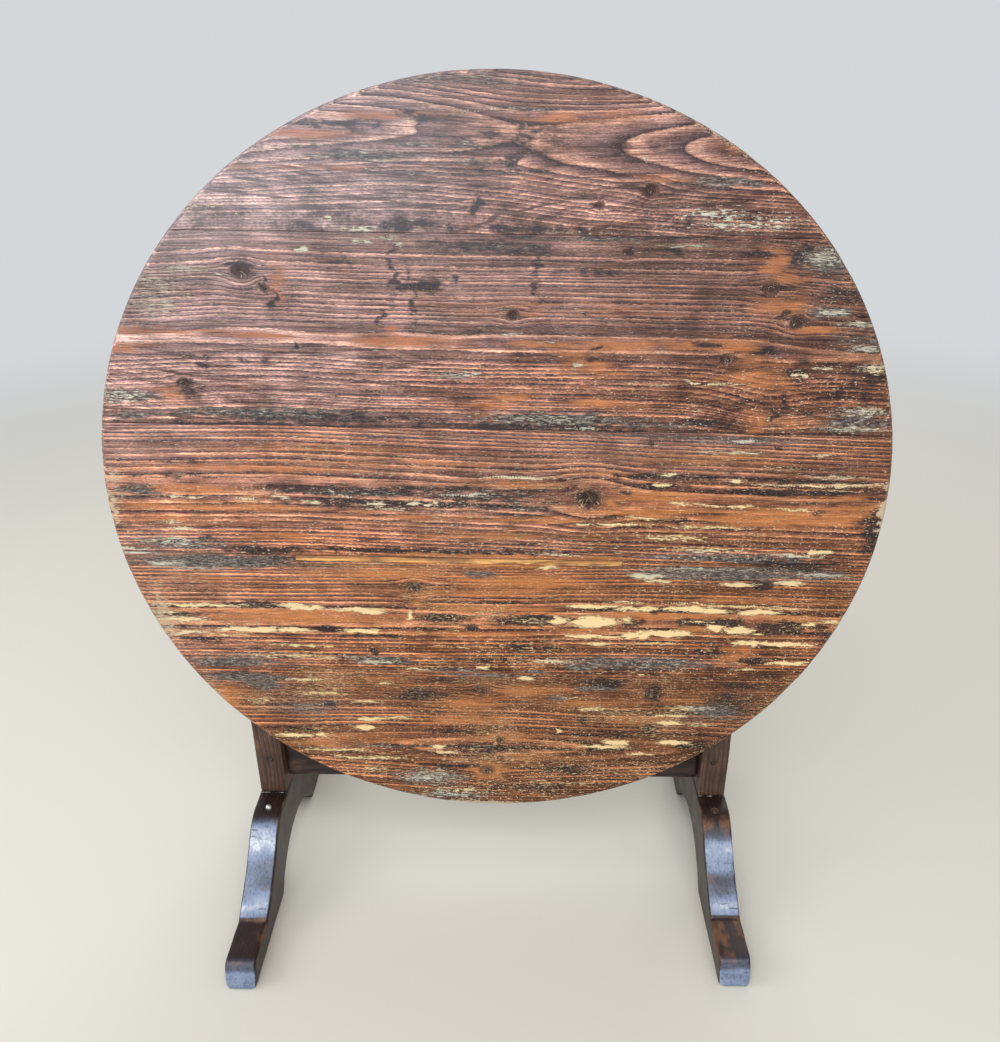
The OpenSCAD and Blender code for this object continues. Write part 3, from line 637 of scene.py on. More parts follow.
def marks_of(wood, seed, u, s, depth, rim):
    """How strongly each kind of mark shows at points of a board."""
    near_face, under = rising(depth, 10.8, -9), rising(depth, 12, 14)
    end_grain = rising(np.hypot(u, s), TOP_R - 3, 3) * rising(depth, 2.5, 4)
    bent_u = u + 18 * (cloud(u, s, 15, 6, seed + 12) - 0.5)
    bent_s = s + 4 * (cloud(u, s, 12, 5, seed + 13) - 0.5)
    marks = {"chips": wood["flaky"] * (0.4 + cloud(u, s, 90, 30, seed + 10))}
    for kind in ("grey", "stain", "chips", "orange", "worn"):
        marks.setdefault(kind, np.zeros_like(u))
        for at_u, at_s, half_u, half_s, strength in wood.get(kind, ()):
            mark_here = strength * spot(bent_u, bent_s, at_u, at_s, half_u, half_s)
            marks[kind] = np.maximum(marks[kind], mark_here)
        marks[kind] = marks[kind] * near_face
    # The tone is 0 for cool, stained wood under a painted bluish sheen of reflected light, and 1 for
    # warm. The light mark is painted light and shade, a factor on the colour: brighter at the left and
    # above the middle, darker at the right and the bottom, and darker on the back and the end grain.
    warmth = np.interp(s, *zip(*WARM_BY_S)) + np.interp(s, *zip(*WARMER_BY_S)) * u / 500
    tone = np.clip(warmth + 0.4 * cloud(u, s, 240, 90, seed + 8) - 0.2, 0, 1)
    marks["tone"] = (tone * (1 - under) + 0.35 * under) * (1 - 0.5 * end_grain)
    light = np.interp(u, *zip(*PAINTED_LIGHT_BY_U)) * np.interp(s, *zip(*PAINTED_LIGHT_BY_S))
    light = light * (1 - wood["dim"] * rising(u, 60, 260))
    marks["light"] = light * (1 - 0.42 * under) * (1 - 0.45 * end_grain)
    # A painted sheen of window light over the upper left of the face.
    marks["painted_sheen"] = 0.22 * rising(u, 150, -600) * rising(s, 290, 120) * near_face
    bare_rim = rim * cloud(u, s, 40, 40, seed + 7) * (1 - 0.6 * end_grain * (1 - under))
    marks["worn"] = np.maximum(marks["worn"], bare_rim)
    return marks


def dips_of(wood, seed, u, s, rings, knot, chips):
    """How far the face is worn down: between the rings, at knots, under flakes and in holes."""
    dip = 0.16 * (1 - np.cos(2 * math.pi * rings)) * (1 - knot)
    dip += 0.5 * cloud(u, s, 130, 45, seed + 3) + 0.25 * knot
    dip += 0.7 * np.clip(chips + cloud(u, s, 13, 2.2, seed + 4) - 1.15, 0, 0.4)
    for at_u, at_s, radius, deep in wood["holes"]:
        inside = rising(np.hypot(u - at_u, s - at_s), radius + 1.5, -3)
        dip += deep * inside * inside * (3 - 2 * inside)
    return dip


def make_board(number, **wood):
    """A board with its rings and marks stored on its points, in place of its CAD node. Its tree had its
    heart at (u, s, depth), with rings of the width ring at heart_r from it, getting tighter outwards.
    Knots are (u, s, size) and holes (u, s, radius, depth). Lenses and all marks are (u, s, half length,
    half width, strength). Small flakes all over are as strong as flaky, and dim darkens the right half
    with painted shade."""
    name = "plank_%d" % number
    u, s, depth, faces = board_mesh(number)
    rings, knot, slant = grain_of(wood, number, u, s, depth)
    rim = rising(np.hypot(u, s), TOP_R - 16, 16)
    marks = marks_of(wood, number, u, s, depth, rim)
    dip = dips_of(wood, number, u, s, rings, knot, marks["chips"]) * rising(depth, 5, -5)
    nicks = np.clip(cloud(u, s, 8, 8, number + 6) - 0.7, 0, 1)
    wear = rim * (0.9 * cloud(u, s, 22, 22, number + 5) ** 2 + 1.5 * nicks) * rising(depth, 14, -14)
    u, s = u * (1 - wear / TOP_R), s * (1 - wear / TOP_R)
    sin, cos = math.sin(BOARD_SLOPE), math.cos(BOARD_SLOPE)
    place = np.column_stack([u * cos + s * sin, FACE_Y + depth + dip, TOP_CENTRE_Z - u * sin + s * cos])
    mesh = bpy.data.meshes.new(name)
    mesh.from_pydata((place / 1000).tolist(), [], faces)
    mesh.polygons.foreach_set("use_smooth", [True] * len(mesh.polygons))
    mesh.set_sharp_from_angle(angle=math.radians(50))
    # The boards lie 100 mm apart in depth here, so that the noise on one isn't the next one's.
    spots = np.column_stack([u, s, depth + 100 * number]).astype(np.float32)
    mesh.attributes.new("along", "FLOAT_VECTOR", "POINT").data.foreach_set("vector", spots.ravel())
    board = bpy.data.objects.new(name + "_wood", mesh)
    bpy.context.scene.collection.objects.link(board)
    dress(board, stained_pine, ring=rings, knot=knot, slant=slant, **marks)
    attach(board, "top")
    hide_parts(name)


# The stain on the boards follows the marks on their points. These are its colours; the cool ones have a
# painted bluish sheen of reflected light mixed in.
COOL_YEAR = ((0.0, (0.050, 0.034, 0.041)), (0.10, (0.105, 0.067, 0.072)), (0.26, (0.190, 0.118, 0.118)),
             (0.55, (0.275, 0.168, 0.155)), (0.85, (0.46, 0.285, 0.240)), (0.94, (0.38, 0.235, 0.195)),
             (1.0, (0.17, 0.100, 0.088)))
WARM_YEAR = ((0.0, (0.010, 0.005, 0.005)), (0.10, (0.040, 0.015, 0.012)), (0.26, (0.140, 0.046, 0.030)),
             (0.55, (0.32, 0.106, 0.048)), (0.85, (0.74, 0.290, 0.126)), (0.94, (0.52, 0.188, 0.078)),
             (1.0, (0.12, 0.038, 0.017)))
COOL_FAINT, WARM_FAINT = (0.310, 0.200, 0.190), (0.340, 0.115, 0.045)
COOL_HAIR, WARM_HAIR = (0.085, 0.052, 0.050), (0.040, 0.017, 0.012)
COOL_GLOW, WARM_GLOW = (0.46, 0.180, 0.095), (0.62, 0.220, 0.066)
COOL_STAIN, WARM_STAIN = (0.042, 0.035, 0.041), (0.026, 0.017, 0.017)
WEATHERED = ((0.40, (0.034, 0.029, 0.030)), (0.50, (0.095, 0.082, 0.078)),
             (0.58, (0.24, 0.215, 0.185)), (0.66, (0.62, 0.55, 0.43)))
KNOT_RINGS = (0, (0.018, 0.012, 0.012)), (0.6, (0.07, 0.035, 0.028)), (1, (0.13, 0.07, 0.05))
GREY_FLAKE, HONEY_FLAKE = (0.66, 0.60, 0.47), (0.95, 0.69, 0.35)
FLAKE_SHADOW, PIT, PAINTED_SHEEN = (0.07, 0.045, 0.035), (0.02, 0.013, 0.012), (0.62, 0.60, 0.66)
DOT, BARE_RIM, MATT = (0.80, 0.64, 0.47), (0.60, 0.45, 0.30), (0.8, 0.8, 0.8)

stained_pine, nodes, shader = new_material("stained_pine")
along = add(nodes, "Attribute", output="Vector", attribute_name="along")
along_u, along_s, layer = (along.part(axis) for axis in range(3))
ring, knot, tone = (mark(nodes, name) for name in ("ring", "knot", "tone"))


def fibres(step_u, step_s, step_ring, detail=2, rough=0.5):
    """Noise whose lumps lie along the grain: mm along it, mm across it and rings across it."""
    across = along_s / step_s + ring / step_ring
    place = add(nodes, "CombineXYZ", {0: along_u / step_u, 1: across, 2: layer})
    return noise(nodes, place, detail, rough)


def marked(name, pattern, low, high, cover=1.0):
    """A mark with broken edges: where its strength and the pattern together are high enough."""
    return (pattern + mark(nodes, name) * 0.3).ramp((low, 0.0), (high, cover))


# Each year's ring goes from dark to pale as tooth rises from 0 to 1, cool where a painted bluish
# sheen of reflected light lies over the stained wood and warm where it is rubbed. Luck is a random
# number for each year.
torn = (fibres(7, 4, 2.5, 4, 0.65) - 0.5) * 0.95
year = ring + torn * mark(nodes, "slant")
tooth = year.math("FRACT")
luck = add(nodes, "TexWhiteNoise", {"W": year.math("FLOOR")}, "Value", noise_dimensions="1D")
faint = luck.ramp((0.20, 0.65), (0.65, 0.0))
wood = tone.between(faint.between(tooth.ramp(*COOL_YEAR), COOL_FAINT),
                    faint.between(tooth.ramp(*WARM_YEAR), WARM_FAINT))
wood = wood.tinted(luck.ramp((0.0, 0.62), (0.5, 1.0), (1.0, 1.3)))
# Bands, streaks, specks and clouds of lighter and darker wood, and fine dark lines.
streaks, specks = fibres(44, 1.9, 0.55, 5, 0.74), fibres(4.5, 0.9, 0.4, 3, 0.6)
clouds = noise(nodes, along, 4, 0.6, 0.021)
wood = wood.tinted(fibres(130, 7, 2.8, 3, 0.55).ramp((0.32, 0.6), (0.5, 1.0), (0.68, 1.4)))
wood = wood.tinted(streaks.ramp((0.30, 0.25), (0.42, 0.68), (0.5, 1.0), (0.72, 1.8)))
wood = wood.tinted(specks.ramp((0.25, 0.4), (0.5, 1.0), (0.75, 1.6)))
wood = wood.tinted(clouds.ramp((0.3, 0.6), (0.5, 1.0), (0.7, 1.4)))
# Painted light and shade: brighter at the left, darker at the right, the bottom and the back.
wood = wood.tinted(mark(nodes, "light"))
hairlines = fibres(95, 2.3, 0.8).ramp((0.37, 0.8), (0.42, 0.0))
wood = hairlines.between(wood, tone.between(COOL_HAIR, WARM_HAIR))
# Orange wood rubbed bare, dark stains, grey weathered patches, knots and a painted sheen of window
# light at the upper left.
glow = marked("orange", fibres(60, 5, 1.5, 4, 0.6), 0.58, 0.88, 0.82)
glow_tint = tone.between(COOL_GLOW, WARM_GLOW).tinted(streaks.ramp((0.25, 0.5), (0.75, 1.5)))
wood = glow.between(wood, glow_tint)
stain = marked("stain", fibres(22, 9, 4, 6, 0.72), 0.60, 0.78, 0.92)
stain_tint = tone.between(COOL_STAIN, WARM_STAIN).tinted(specks.ramp((0.3, 0.5), (0.7, 1.6)))
wood = stain.between(wood, stain_tint)
grey = marked("grey", fibres(30, 3.2, 1.3, 6, 0.74), 0.66, 0.82, 0.9)
wood = grey.between(wood, fibres(11, 2.4, 1.2, 5, 0.7).ramp(*WEATHERED))
wood = knot.between(wood, tooth.ramp(*KNOT_RINGS))
wood = mark(nodes, "painted_sheen").between(wood, PAINTED_SHEEN)
# Flakes where the finish has split off along the grain, each with a painted shadow along its border,
# then small dots, pits and the bare rim.
splits = (fibres(24, 1.0, 0.5) - 0.5) * (1.1 - tone * 0.6)
chipping = fibres(9, 1.9, 1.0, 6, 0.78) * 1.6 - 0.3 + splits
flakes = marked("chips", chipping, 0.80, 0.835)
honeyed = (tone - 0.45) * 2.2 - mark(nodes, "grey") * 1.3
wood = marked("chips", chipping, 0.70, 0.80, 0.7).between(wood, FLAKE_SHADOW)
dots = fibres(4.5, 1.6, 0.9, 1) + (clouds - 0.5) * 0.3
dots = dots.ramp((0.685, 0.0), (0.705, 1.0)) * tone
wood = dots.between(wood, DOT)
wood = flakes.between(wood, honeyed.between(GREY_FLAKE, HONEY_FLAKE))
pits = fibres(6, 1.4, 0.7, 4, 0.7).ramp((0.27, 1.0), (0.31, 0.0))
wood = pits.between(wood, PIT)
wood = marked("worn", fibres(7, 2.0, 3.0, 5, 0.7), 0.76, 0.80).between(wood, BARE_RIM)
wood.into(shader["Base Color"])
# The gloss is broken along the grain, and flakes are matt. The relief follows rings and streaks.
gloss = fibres(50, 6, 2, 3).ramp((0.3, 0.34), (0.7, 0.54))
flakes.between(gloss, MATT).into(shader["Roughness"])
shader["Specular IOR Level"].default_value = 0.2
relief = tooth.ramp((0, 0.0), (0.12, 0.55), (0.5, 0.75), (0.9, 1.0), (1.0, 0.1))
relief = relief + streaks * 1.2 + specks * 0.7 - (flakes + pits) * 0.8
add(nodes, "Bump", {"Height": relief, "Distance": 0.0006, "Strength": 0.7}).into(shader["Normal"])

# Board 1, the topmost: flat-sawn pine whose wide rings show as long arches, with two small knots. A
# tongue on its lower edge goes into board 2.
make_board(
    1, ring=5.4, heart_r=56, tighter=0.75, waver=2.5, flaky=0, dim=0,
    heart=[(-500, 485, 38), (-280, 487, 46), (-110, 488, 55), (20, 476, 60), (105, 468, 56),
        (185, 467, 51), (260, 467, 45), (500, 466, 36)],
    knots=[(187, 419, 7), (126, 402, 4)],
    holes=[(18, 447, 4, 1.5)],
    lenses=[(-170, 500, 110, 10, -5), (-215, 479, 95, 8, -4), (282, 467, 34, 8, -3),
        (20, 470, 60, 20, 3)],
    grey=[(-165, 455, 70, 7, 1.5), (-235, 463, 50, 4, 1.2), (-95, 468, 50, 8, 1), (-40, 469, 26, 8, 1),
        (-60, 436, 160, 4, 0.8), (272, 430, 55, 8, 1.4), (-60, 538, 200, 10, 0.9), (30, 508, 50, 3, 1.3),
        (200, 512, 120, 4, 0.6), (-25, 450, 40, 6, 1.1)],
    stain=[(-200, 490, 90, 4, 1.1), (-95, 498, 30, 8, 1), (17, 449, 12, 8, 1.8), (15, 440, 70, 3, 1),
        (-24, 400, 5, 22, 1.2), (-110, 376, 50, 8, 1.2), (30, 373, 110, 5, 1.1), (181, 420, 9, 7, 1.6),
        (30, 478, 90, 16, 0.75), (240, 385, 90, 14, 0.6), (118, 402, 9, 5, 1.2), (-170, 466, 50, 1.5, 1),
        (-240, 372, 60, 7, 0.8), (160, 468, 40, 7, 0.6)],
    orange=[(-240, 478, 80, 6, 1.3), (-140, 499, 80, 5, 1), (75, 500, 34, 7, 1.5),
        (134, 499, 50, 7, 0.9), (-230, 441, 120, 2.5, 1), (282, 467, 26, 5, 1), (200, 432, 40, 5, 0.9)],
    chips=[(275, 393, 60, 10, 1.1), (300, 380, 80, 7, 1.1), (345, 385, 50, 12, 0.9),
        (-165, 371, 34, 4, 1.3), (-360, 392, 26, 5, 0.9), (-5, 507, 22, 2, 1.8), (-50, 505, 40, 2, 1),
        (-205, 382, 12, 3, 1.4), (130, 368, 120, 3, 0.7), (178, 455, 3, 4, 1.6)])

# Board 2, the widest: pine with nearly straight grain, eight small knots, a long orange streak over
# its heart and dark drips. A groove takes board 1's tongue, and its own goes into board 3.
make_board(
    2, ring=5.8, heart_r=300, tighter=0, waver=0.9, flaky=0.2, dim=0.3,
    heart=[(-540, 224, 15.4), (-400, 231, 15.4), (-350, 235, 12.4), (-300, 235, 12.4), (-262, 234, 15.4),
        (-205, 231, 15.4), (-160, 230, 12.4), (-90, 230, 12.4), (-48, 229, 15.4), (-25, 229, 12.4),
        (30, 230, 12.4), (200, 230, 12.4), (330, 229, 12.4), (400, 222, 15.4), (540, 214, 15.4)],
    knots=[(-324, 316, 9), (-295, 296, 5), (22, 267, 6), (-417, 170, 6), (347, 305, 8), (386, 264, 8),
        (303, 213, 5), (161, 347, 4)],
    holes=[(-324, 318, 4, 1.2), (22, 267, 5, 0.8), (161, 347, 4, 0.8)],
    lenses=[(358, 150, 60, 50, -16), (-310, 300, 40, 40, 5)],
    grey=[(-330, 130, 180, 9, 1.3), (-500, 150, 50, 14, 1.3), (80, 128, 140, 11, 1.4),
        (-500, 122, 60, 8, 1.2), (410, 340, 32, 20, 1.4), (425, 276, 30, 7, 1.6),
        (480, 130, 70, 18, 1.1), (-450, 290, 60, 40, 0.8), (470, 240, 60, 30, 0.8),
        (120, 362, 140, 2.5, 1.3), (-60, 186, 60, 5, 1.1), (220, 122, 80, 6, 1.1), (0, 350, 80, 8, 0.8)],
    stain=[(-323, 322, 22, 14, 1.2), (-283, 281, 7, 13, 1.3), (-298, 303, 3, 14, 1.3),
        (-96, 302, 32, 9, 1.5), (-51, 312, 9, 5, 1.4), (-40, 352, 70, 10, 1), (30, 350, 60, 10, 0.9),
        (-132, 320, 6, 50, 1), (-108, 290, 5, 50, 1), (-151, 262, 6, 14, 1), (-200, 330, 30, 6, 0.8),
        (-262, 222, 3, 8, 1.2), (-417, 170, 15, 5, 1.5), (-400, 206, 22, 6, 1.1),
        (-380, 194, 14, 4, 1.1), (-240, 124, 180, 8, 1.1), (-340, 113, 220, 3, 1.1),
        (-320, 202, 40, 5, 0.8), (-410, 160, 30, 12, 0.8), (23, 267, 13, 6, 1.8), (161, 347, 6, 5, 1.7),
        (187, 349, 10, 4, 1), (226, 350, 15, 6, 1.2), (125, 322, 40, 7, 0.9), (52, 310, 7, 48, 0.9),
        (119, 268, 5, 5, 1.4), (131, 226, 5, 3.5, 1.6), (78, 187, 7, 3, 1.4), (227, 248, 2, 9, 1.3),
        (275, 231, 22, 5, 1.2), (303, 213, 8, 5, 1.5), (351, 226, 3, 6, 1.4), (366, 273, 7, 6, 1.4),
        (386, 264, 8, 8, 1.6), (378, 345, 14, 24, 1), (385, 160, 7, 12, 1.6), (374, 138, 6, 12, 1.4),
        (330, 346, 22, 4, 1.2), (345, 306, 30, 4, 1.3), (60, 118, 140, 6, 1.2), (60, 112, 320, 2, 1.5),
        (280, 126, 60, 7, 1.1), (395, 200, 10, 24, 0.9), (150, 210, 50, 4, 0.8), (-30, 245, 20, 5, 0.9),
        (480, 180, 60, 40, 0.7), (440, 300, 60, 14, 0.9), (170, 364, 200, 2, 1.2)],
    orange=[(-310, 235, 48, 4, 1.8), (-125, 230, 76, 8, 1.7), (-400, 238, 60, 4, 1.3),
        (-480, 238, 90, 6, 1.2), (-500, 215, 60, 10, 1), (60, 229, 60, 4, 1.7), (160, 229, 60, 8, 1.7),
        (240, 231, 40, 6, 1.3), (300, 232, 40, 10, 1.4), (-280, 302, 10, 26, 1.3),
        (-440, 150, 26, 14, 1.2), (-133, 244, 14, 5, 1.5), (120, 205, 40, 20, 1.1),
        (130, 150, 40, 7, 1.8), (-20, 145, 60, 5, 1.2), (10, 156, 40, 6, 1.2), (348, 335, 20, 18, 1.6),
        (365, 318, 24, 6, 1.4), (360, 282, 40, 14, 1.3), (410, 254, 40, 5, 1.5), (340, 190, 50, 24, 1),
        (345, 132, 16, 16, 1.3), (405, 128, 30, 8, 1.2), (60, 275, 200, 20, 0.6),
        (-10, 128, 30, 5, 1.3)],
    chips=[(-243, 346, 6.5, 4, 2.6), (-165, 356, 18, 3.5, 1.5), (-135, 360, 22, 3, 1.5),
        (-126, 352, 5, 3, 1.5), (-345, 313, 14, 3, 1.22), (-429, 298, 46, 20, 0.8),
        (-400, 319, 40, 6, 1.1), (-440, 270, 40, 20, 0.9), (-500, 150, 50, 12, 1.1),
        (-40, 187, 50, 5, 1.22), (410, 345, 32, 16, 1.1), (430, 276, 26, 6, 1.33),
        (465, 262, 40, 5, 1.22), (480, 230, 30, 7, 1.27), (500, 205, 40, 9, 1.27),
        (430, 203, 24, 3, 1.33), (400, 193, 8, 5, 1.5), (255, 181, 12, 5, 1.5),
        (290, 180, 50, 2.5, 1.44), (200, 178, 60, 1.5, 1.17), (490, 145, 50, 10, 1.17),
        (480, 120, 60, 6, 1.17), (365, 130, 3, 9, 1.33), (240, 356, 60, 3, 1.1), (120, 114, 40, 3, 1.27),
        (20, 242, 16, 3, 1.33), (65, 232, 14, 2, 1.27), (207, 222, 10, 2, 1.33), (112, 202, 8, 4, 1.33),
        (270, 238, 3, 4, 1.33), (60, 127, 120, 8, 0.8)])

# Board 3, in the middle: pine with one big knot whose core has fallen out, and long dark splits with
# pale flakes along them. Tongued and grooved like board 2.
make_board(
    3, ring=5.4, heart_r=60, tighter=0.25, waver=1, flaky=0.4, dim=0,
    heart=[(-540, 18, 46.3), (-300, 24, 46), (-60, 17, 46.3), (136, 12, 46), (300, 8, 46.2),
        (540, 2, 46.3)],
    knots=[(134, 12, 17)],
    holes=[(134, 12, 10, 7)],
    lenses=[(-30, 41, 60, 7, 2)],
    grey=[(-450, -72, 90, 12, 1.3), (330, 101, 110, 7, 1.2), (210, 105, 140, 4, 1),
        (-100, 98, 260, 6, 0.9), (330, -78, 150, 8, 1.4), (-210, 13, 130, 4, 1), (-500, 10, 40, 14, 1.2),
        (480, 60, 60, 16, 0.5), (-60, 12, 60, 3, 1), (40, -8, 60, 6, 0.8)],
    stain=[(-430, 34, 110, 2, 1.1), (-60, 22, 130, 5, 1.1), (-210, 15, 140, 7, 1.35),
        (-30, 10, 90, 8, 1.3), (-140, -3, 200, 7, 1.2), (-250, 21, 100, 2, 1.5),
        (-120, -76, 230, 4, 1.3), (-340, -80, 70, 6, 1.3), (-420, -62, 16, 5, 1.2),
        (-500, 12, 36, 8, 0.9), (40, 21, 60, 2.5, 1.5), (134, 12, 10, 10, 3), (185, 22, 10, 7, 1.1),
        (108, 29, 9, 6, 1), (240, 47, 90, 4, 1.6), (225, 33, 50, 4, 1.5), (420, 27, 140, 4, 1.6),
        (400, 43, 130, 3, 1.3), (330, 56, 90, 2, 1), (540, -30, 26, 44, 1.2), (456, -5, 12, 6, 1.1),
        (265, -20, 8, 6, 1.3), (380, -82, 60, 6, 1.3), (430, -86, 70, 5, 1.5), (60, -72, 100, 4, 1),
        (440, 10, 100, 2, 1.1), (-440, 55, 70, 2, 1), (210, 96, 8, 8, 1.1), (385, 90, 6, 3, 1.2),
        (60, 4, 60, 3, 1)],
    orange=[(-350, 48, 150, 4.5, 1.8), (-430, 14, 80, 6, 1.9), (-380, -13, 180, 5, 1.7),
        (-120, -22, 110, 4, 1.3), (-480, -32, 80, 5, 1.1), (-330, 5, 50, 3, 1.4), (30, 31, 90, 6, 1.3),
        (165, 4, 10, 5, 2), (230, 15, 60, 10, 1.4), (200, -9, 100, 5, 1.6), (60, -25, 90, 4, 1.5),
        (420, -14, 120, 13, 1.9), (500, 2, 60, 6, 1.1), (-100, 60, 200, 3, 1), (-280, 78, 160, 3, 0.9),
        (10, -83, 150, 4, 1.9), (150, 50, 60, 3, 1.2), (-300, -56, 70, 10, 0.9), (300, 75, 110, 10, 0.9),
        (480, 18, 60, 4, 1.2), (0, -50, 140, 8, 0.8)],
    chips=[(-300, 5, 14, 3, 1.9), (-255, -2, 12, 3, 1.9), (-165, -3, 17, 3, 2.1), (-105, -2, 13, 3, 2.3),
        (-88, 0, 7, 3.5, 2.4), (-150, -10, 30, 2, 1.6), (-455, 4, 16, 2.5, 2), (-425, 3, 18, 2, 1.8),
        (-355, 2, 24, 2, 2), (-40, 14, 40, 2, 2.2), (30, 41, 46, 2, 2.8), (-225, 12, 2, 7, 1.8),
        (-208, 8, 14, 1.2, 2), (-324, 15, 1.5, 7, 1.7), (-307, 13, 1.5, 7, 1.7), (-465, -38, 30, 5, 1.3),
        (-450, -46, 20, 3, 1.6), (-470, -68, 70, 10, 1.1), (-520, -82, 40, 2, 2), (-536, 20, 14, 50, 1),
        (180, -27, 55, 2.2, 2), (210, -17, 45, 2, 1.8), (122, -30, 22, 2, 2), (300, -30, 80, 3, 1.5),
        (260, -48, 70, 7, 1.2), (235, 33, 14, 3, 2.1), (245, 50, 12, 2.5, 2), (335, 42, 16, 3, 2.2),
        (440, 37, 90, 2.5, 1.9), (510, 40, 60, 3, 1.6), (330, 4, 70, 2.5, 1.6), (420, 0, 26, 2, 2.2),
        (268, 6, 30, 3, 1.5), (335, 83, 40, 3, 1.4), (290, 85, 30, 2.5, 1.4), (445, 82, 22, 3, 1.8),
        (340, 101, 30, 2, 2.3), (300, -66, 90, 6, 1.2), (465, -66, 24, 4, 2.2), (430, -72, 60, 4, 1.3),
        (100, -78, 40, 2.5, 1.4), (390, 62, 40, 4, 1), (470, 50, 50, 3, 1.4), (480, 30, 60, 2, 1.2),
        (-170, 42, 50, 3, 1)],
    worn=[(550, 0, 10, 60, 1.6), (-544, -20, 8, 40, 1.4)])

# Board 4: pine with two small knots, its finish flaked off to pale wood in large patches. Beside the
# groove, its upper edge has a rebate for the strip.
make_board(
    4, ring=5, heart_r=60, tighter=0.3, waver=1.4, flaky=0.5, dim=0,
    heart=[(-540, -196, 48.2), (-200, -192, 47.8), (0, -190, 48), (200, -184, 47.8), (540, -186, 48.2)],
    knots=[(-117, -136, 8), (-32, -205, 6)],
    holes=[(392, -122, 6, 1.5), (-117, -136, 5, 0.8)],
    lenses=[(246, -208, 60, 8, 3)],
    grey=[(-420, -100, 140, 14, 1.5), (-240, -108, 60, 4, 1), (-20, -113, 30, 8, 1.3),
        (330, -104, 160, 13, 1.6), (230, -262, 150, 14, 1.3), (140, -272, 34, 6, 1.7),
        (-180, -265, 60, 10, 1.2), (-400, -275, 90, 12, 1.4), (-60, -284, 60, 6, 1.3),
        (60, -284, 40, 4, 1.5), (480, -105, 60, 12, 1.2)],
    stain=[(-355, -172, 54, 5, 2), (-75, -188, 36, 8, 1.8), (60, -191, 60, 11, 1.7),
        (-250, -213, 17, 6, 2), (-32, -205, 14, 5, 1.7), (330, -187, 60, 7, 1.8),
        (440, -192, 60, 9, 1.7), (395, -255, 18, 6, 1.8), (-182, -252, 10, 6, 1.6),
        (-150, -268, 40, 8, 1), (-380, -98, 110, 10, 1.2), (-300, -92, 60, 6, 1.1),
        (430, -92, 60, 6, 1.7), (392, -122, 13, 7, 2), (-117, -136, 9, 8, 1.3), (-470, -192, 60, 9, 1.1),
        (-170, -222, 70, 3, 1.2), (60, -238, 100, 4, 1.1), (210, -190, 14, 10, 1.2),
        (250, -170, 50, 3, 1.3), (330, -240, 50, 8, 1), (0, -262, 120, 5, 0.9), (-440, -235, 60, 6, 1),
        (20, -160, 60, 3, 1.2), (510, -210, 30, 16, 1), (150, -286, 30, 6, 1.5)],
    orange=[(-300, -194, 140, 8, 2), (0, -172, 100, 5, 2), (-40, -217, 120, 5, 1.6),
        (250, -178, 110, 5, 1.8), (-160, -115, 130, 14, 1.3), (40, -125, 100, 14, 1.6),
        (0, -145, 180, 8, 1), (370, -245, 26, 14, 1.7), (150, -205, 60, 5, 1.4),
        (-300, -183, 140, 3, 1.6), (-390, -225, 80, 3, 1.2), (430, -176, 60, 5, 1.6),
        (300, -200, 40, 6, 1.3), (-420, -130, 90, 6, 1), (400, -148, 120, 5, 1),
        (-110, -160, 6, 14, 1.6), (0, -99, 130, 3, 1.5)],
    chips=[(-440, -175, 100, 3, 2), (-300, -172, 34, 3.5, 1.9), (-277, -176, 26, 5, 2.2),
        (-205, -177, 50, 5, 2), (-180, -180, 28, 4, 2.2), (-470, -200, 50, 5, 1.8),
        (-490, -188, 26, 4, 1.6), (-370, -216, 56, 4.5, 2.5), (-305, -215, 36, 4, 2.4),
        (-200, -214, 36, 4, 2.3), (-460, -223, 34, 4, 1.8), (-400, -226, 40, 2, 1.5),
        (-480, -226, 20, 6, 1.7), (-122, -186, 7, 9, 2.1), (-290, -243, 60, 2.5, 1.7),
        (-180, -270, 40, 4, 1.6), (-20, -276, 14, 4, 2.2), (-120, -281, 40, 2, 1.8),
        (-60, -240, 60, 2, 1.2), (-300, -262, 160, 8, 1.1), (150, -190, 37, 11, 2.7),
        (98, -189, 13, 9, 1.8), (200, -186, 14, 6, 1.5), (147, -163, 44, 3.2, 2.7),
        (215, -166, 44, 5, 1.9), (290, -164, 40, 4.5, 2.6), (332, -167, 18, 5, 2.5),
        (388, -168, 33, 4.5, 2.8), (370, -158, 60, 2, 2.1), (335, -196, 14, 6, 2.5),
        (370, -200, 22, 8, 2.1), (305, -186, 22, 3, 1.8), (398, -205, 14, 3, 1.7),
        (470, -188, 14, 5, 2.2), (510, -183, 30, 2.5, 1.6), (214, -212, 27, 5, 2.7),
        (262, -208, 44, 5.5, 2.8), (150, -216, 46, 3.2, 2.3), (160, -229, 30, 3, 1.8),
        (240, -226, 46, 1.8, 1.9), (388, -222, 26, 5, 2.3), (438, -222, 42, 4, 2.3),
        (470, -224, 12, 3, 2.2), (452, -256, 36, 2.6, 2.9), (385, -270, 20, 2.5, 1.8),
        (90, -262, 50, 5, 1.5), (225, -110, 24, 4, 2.2), (240, -118, 24, 3, 1.8),
        (358, -122, 27, 4, 2.6), (430, -118, 30, 5, 1.8), (300, -97, 100, 3, 1.3),
        (480, -104, 50, 5, 1.4), (250, -134, 90, 2, 1.1), (200, -155, 30, 3, 1.5),
        (290, -155, 40, 1.5, 2), (-480, -105, 40, 5, 1.5), (-430, -112, 60, 4, 1.2),
        (-520, -88, 34, 2, 2), (80, -100, 16, 3, 1.8), (60, -191, 50, 8, 1), (440, -162, 60, 3, 1.2)],
    worn=[(-500, -200, 30, 90, 1)])

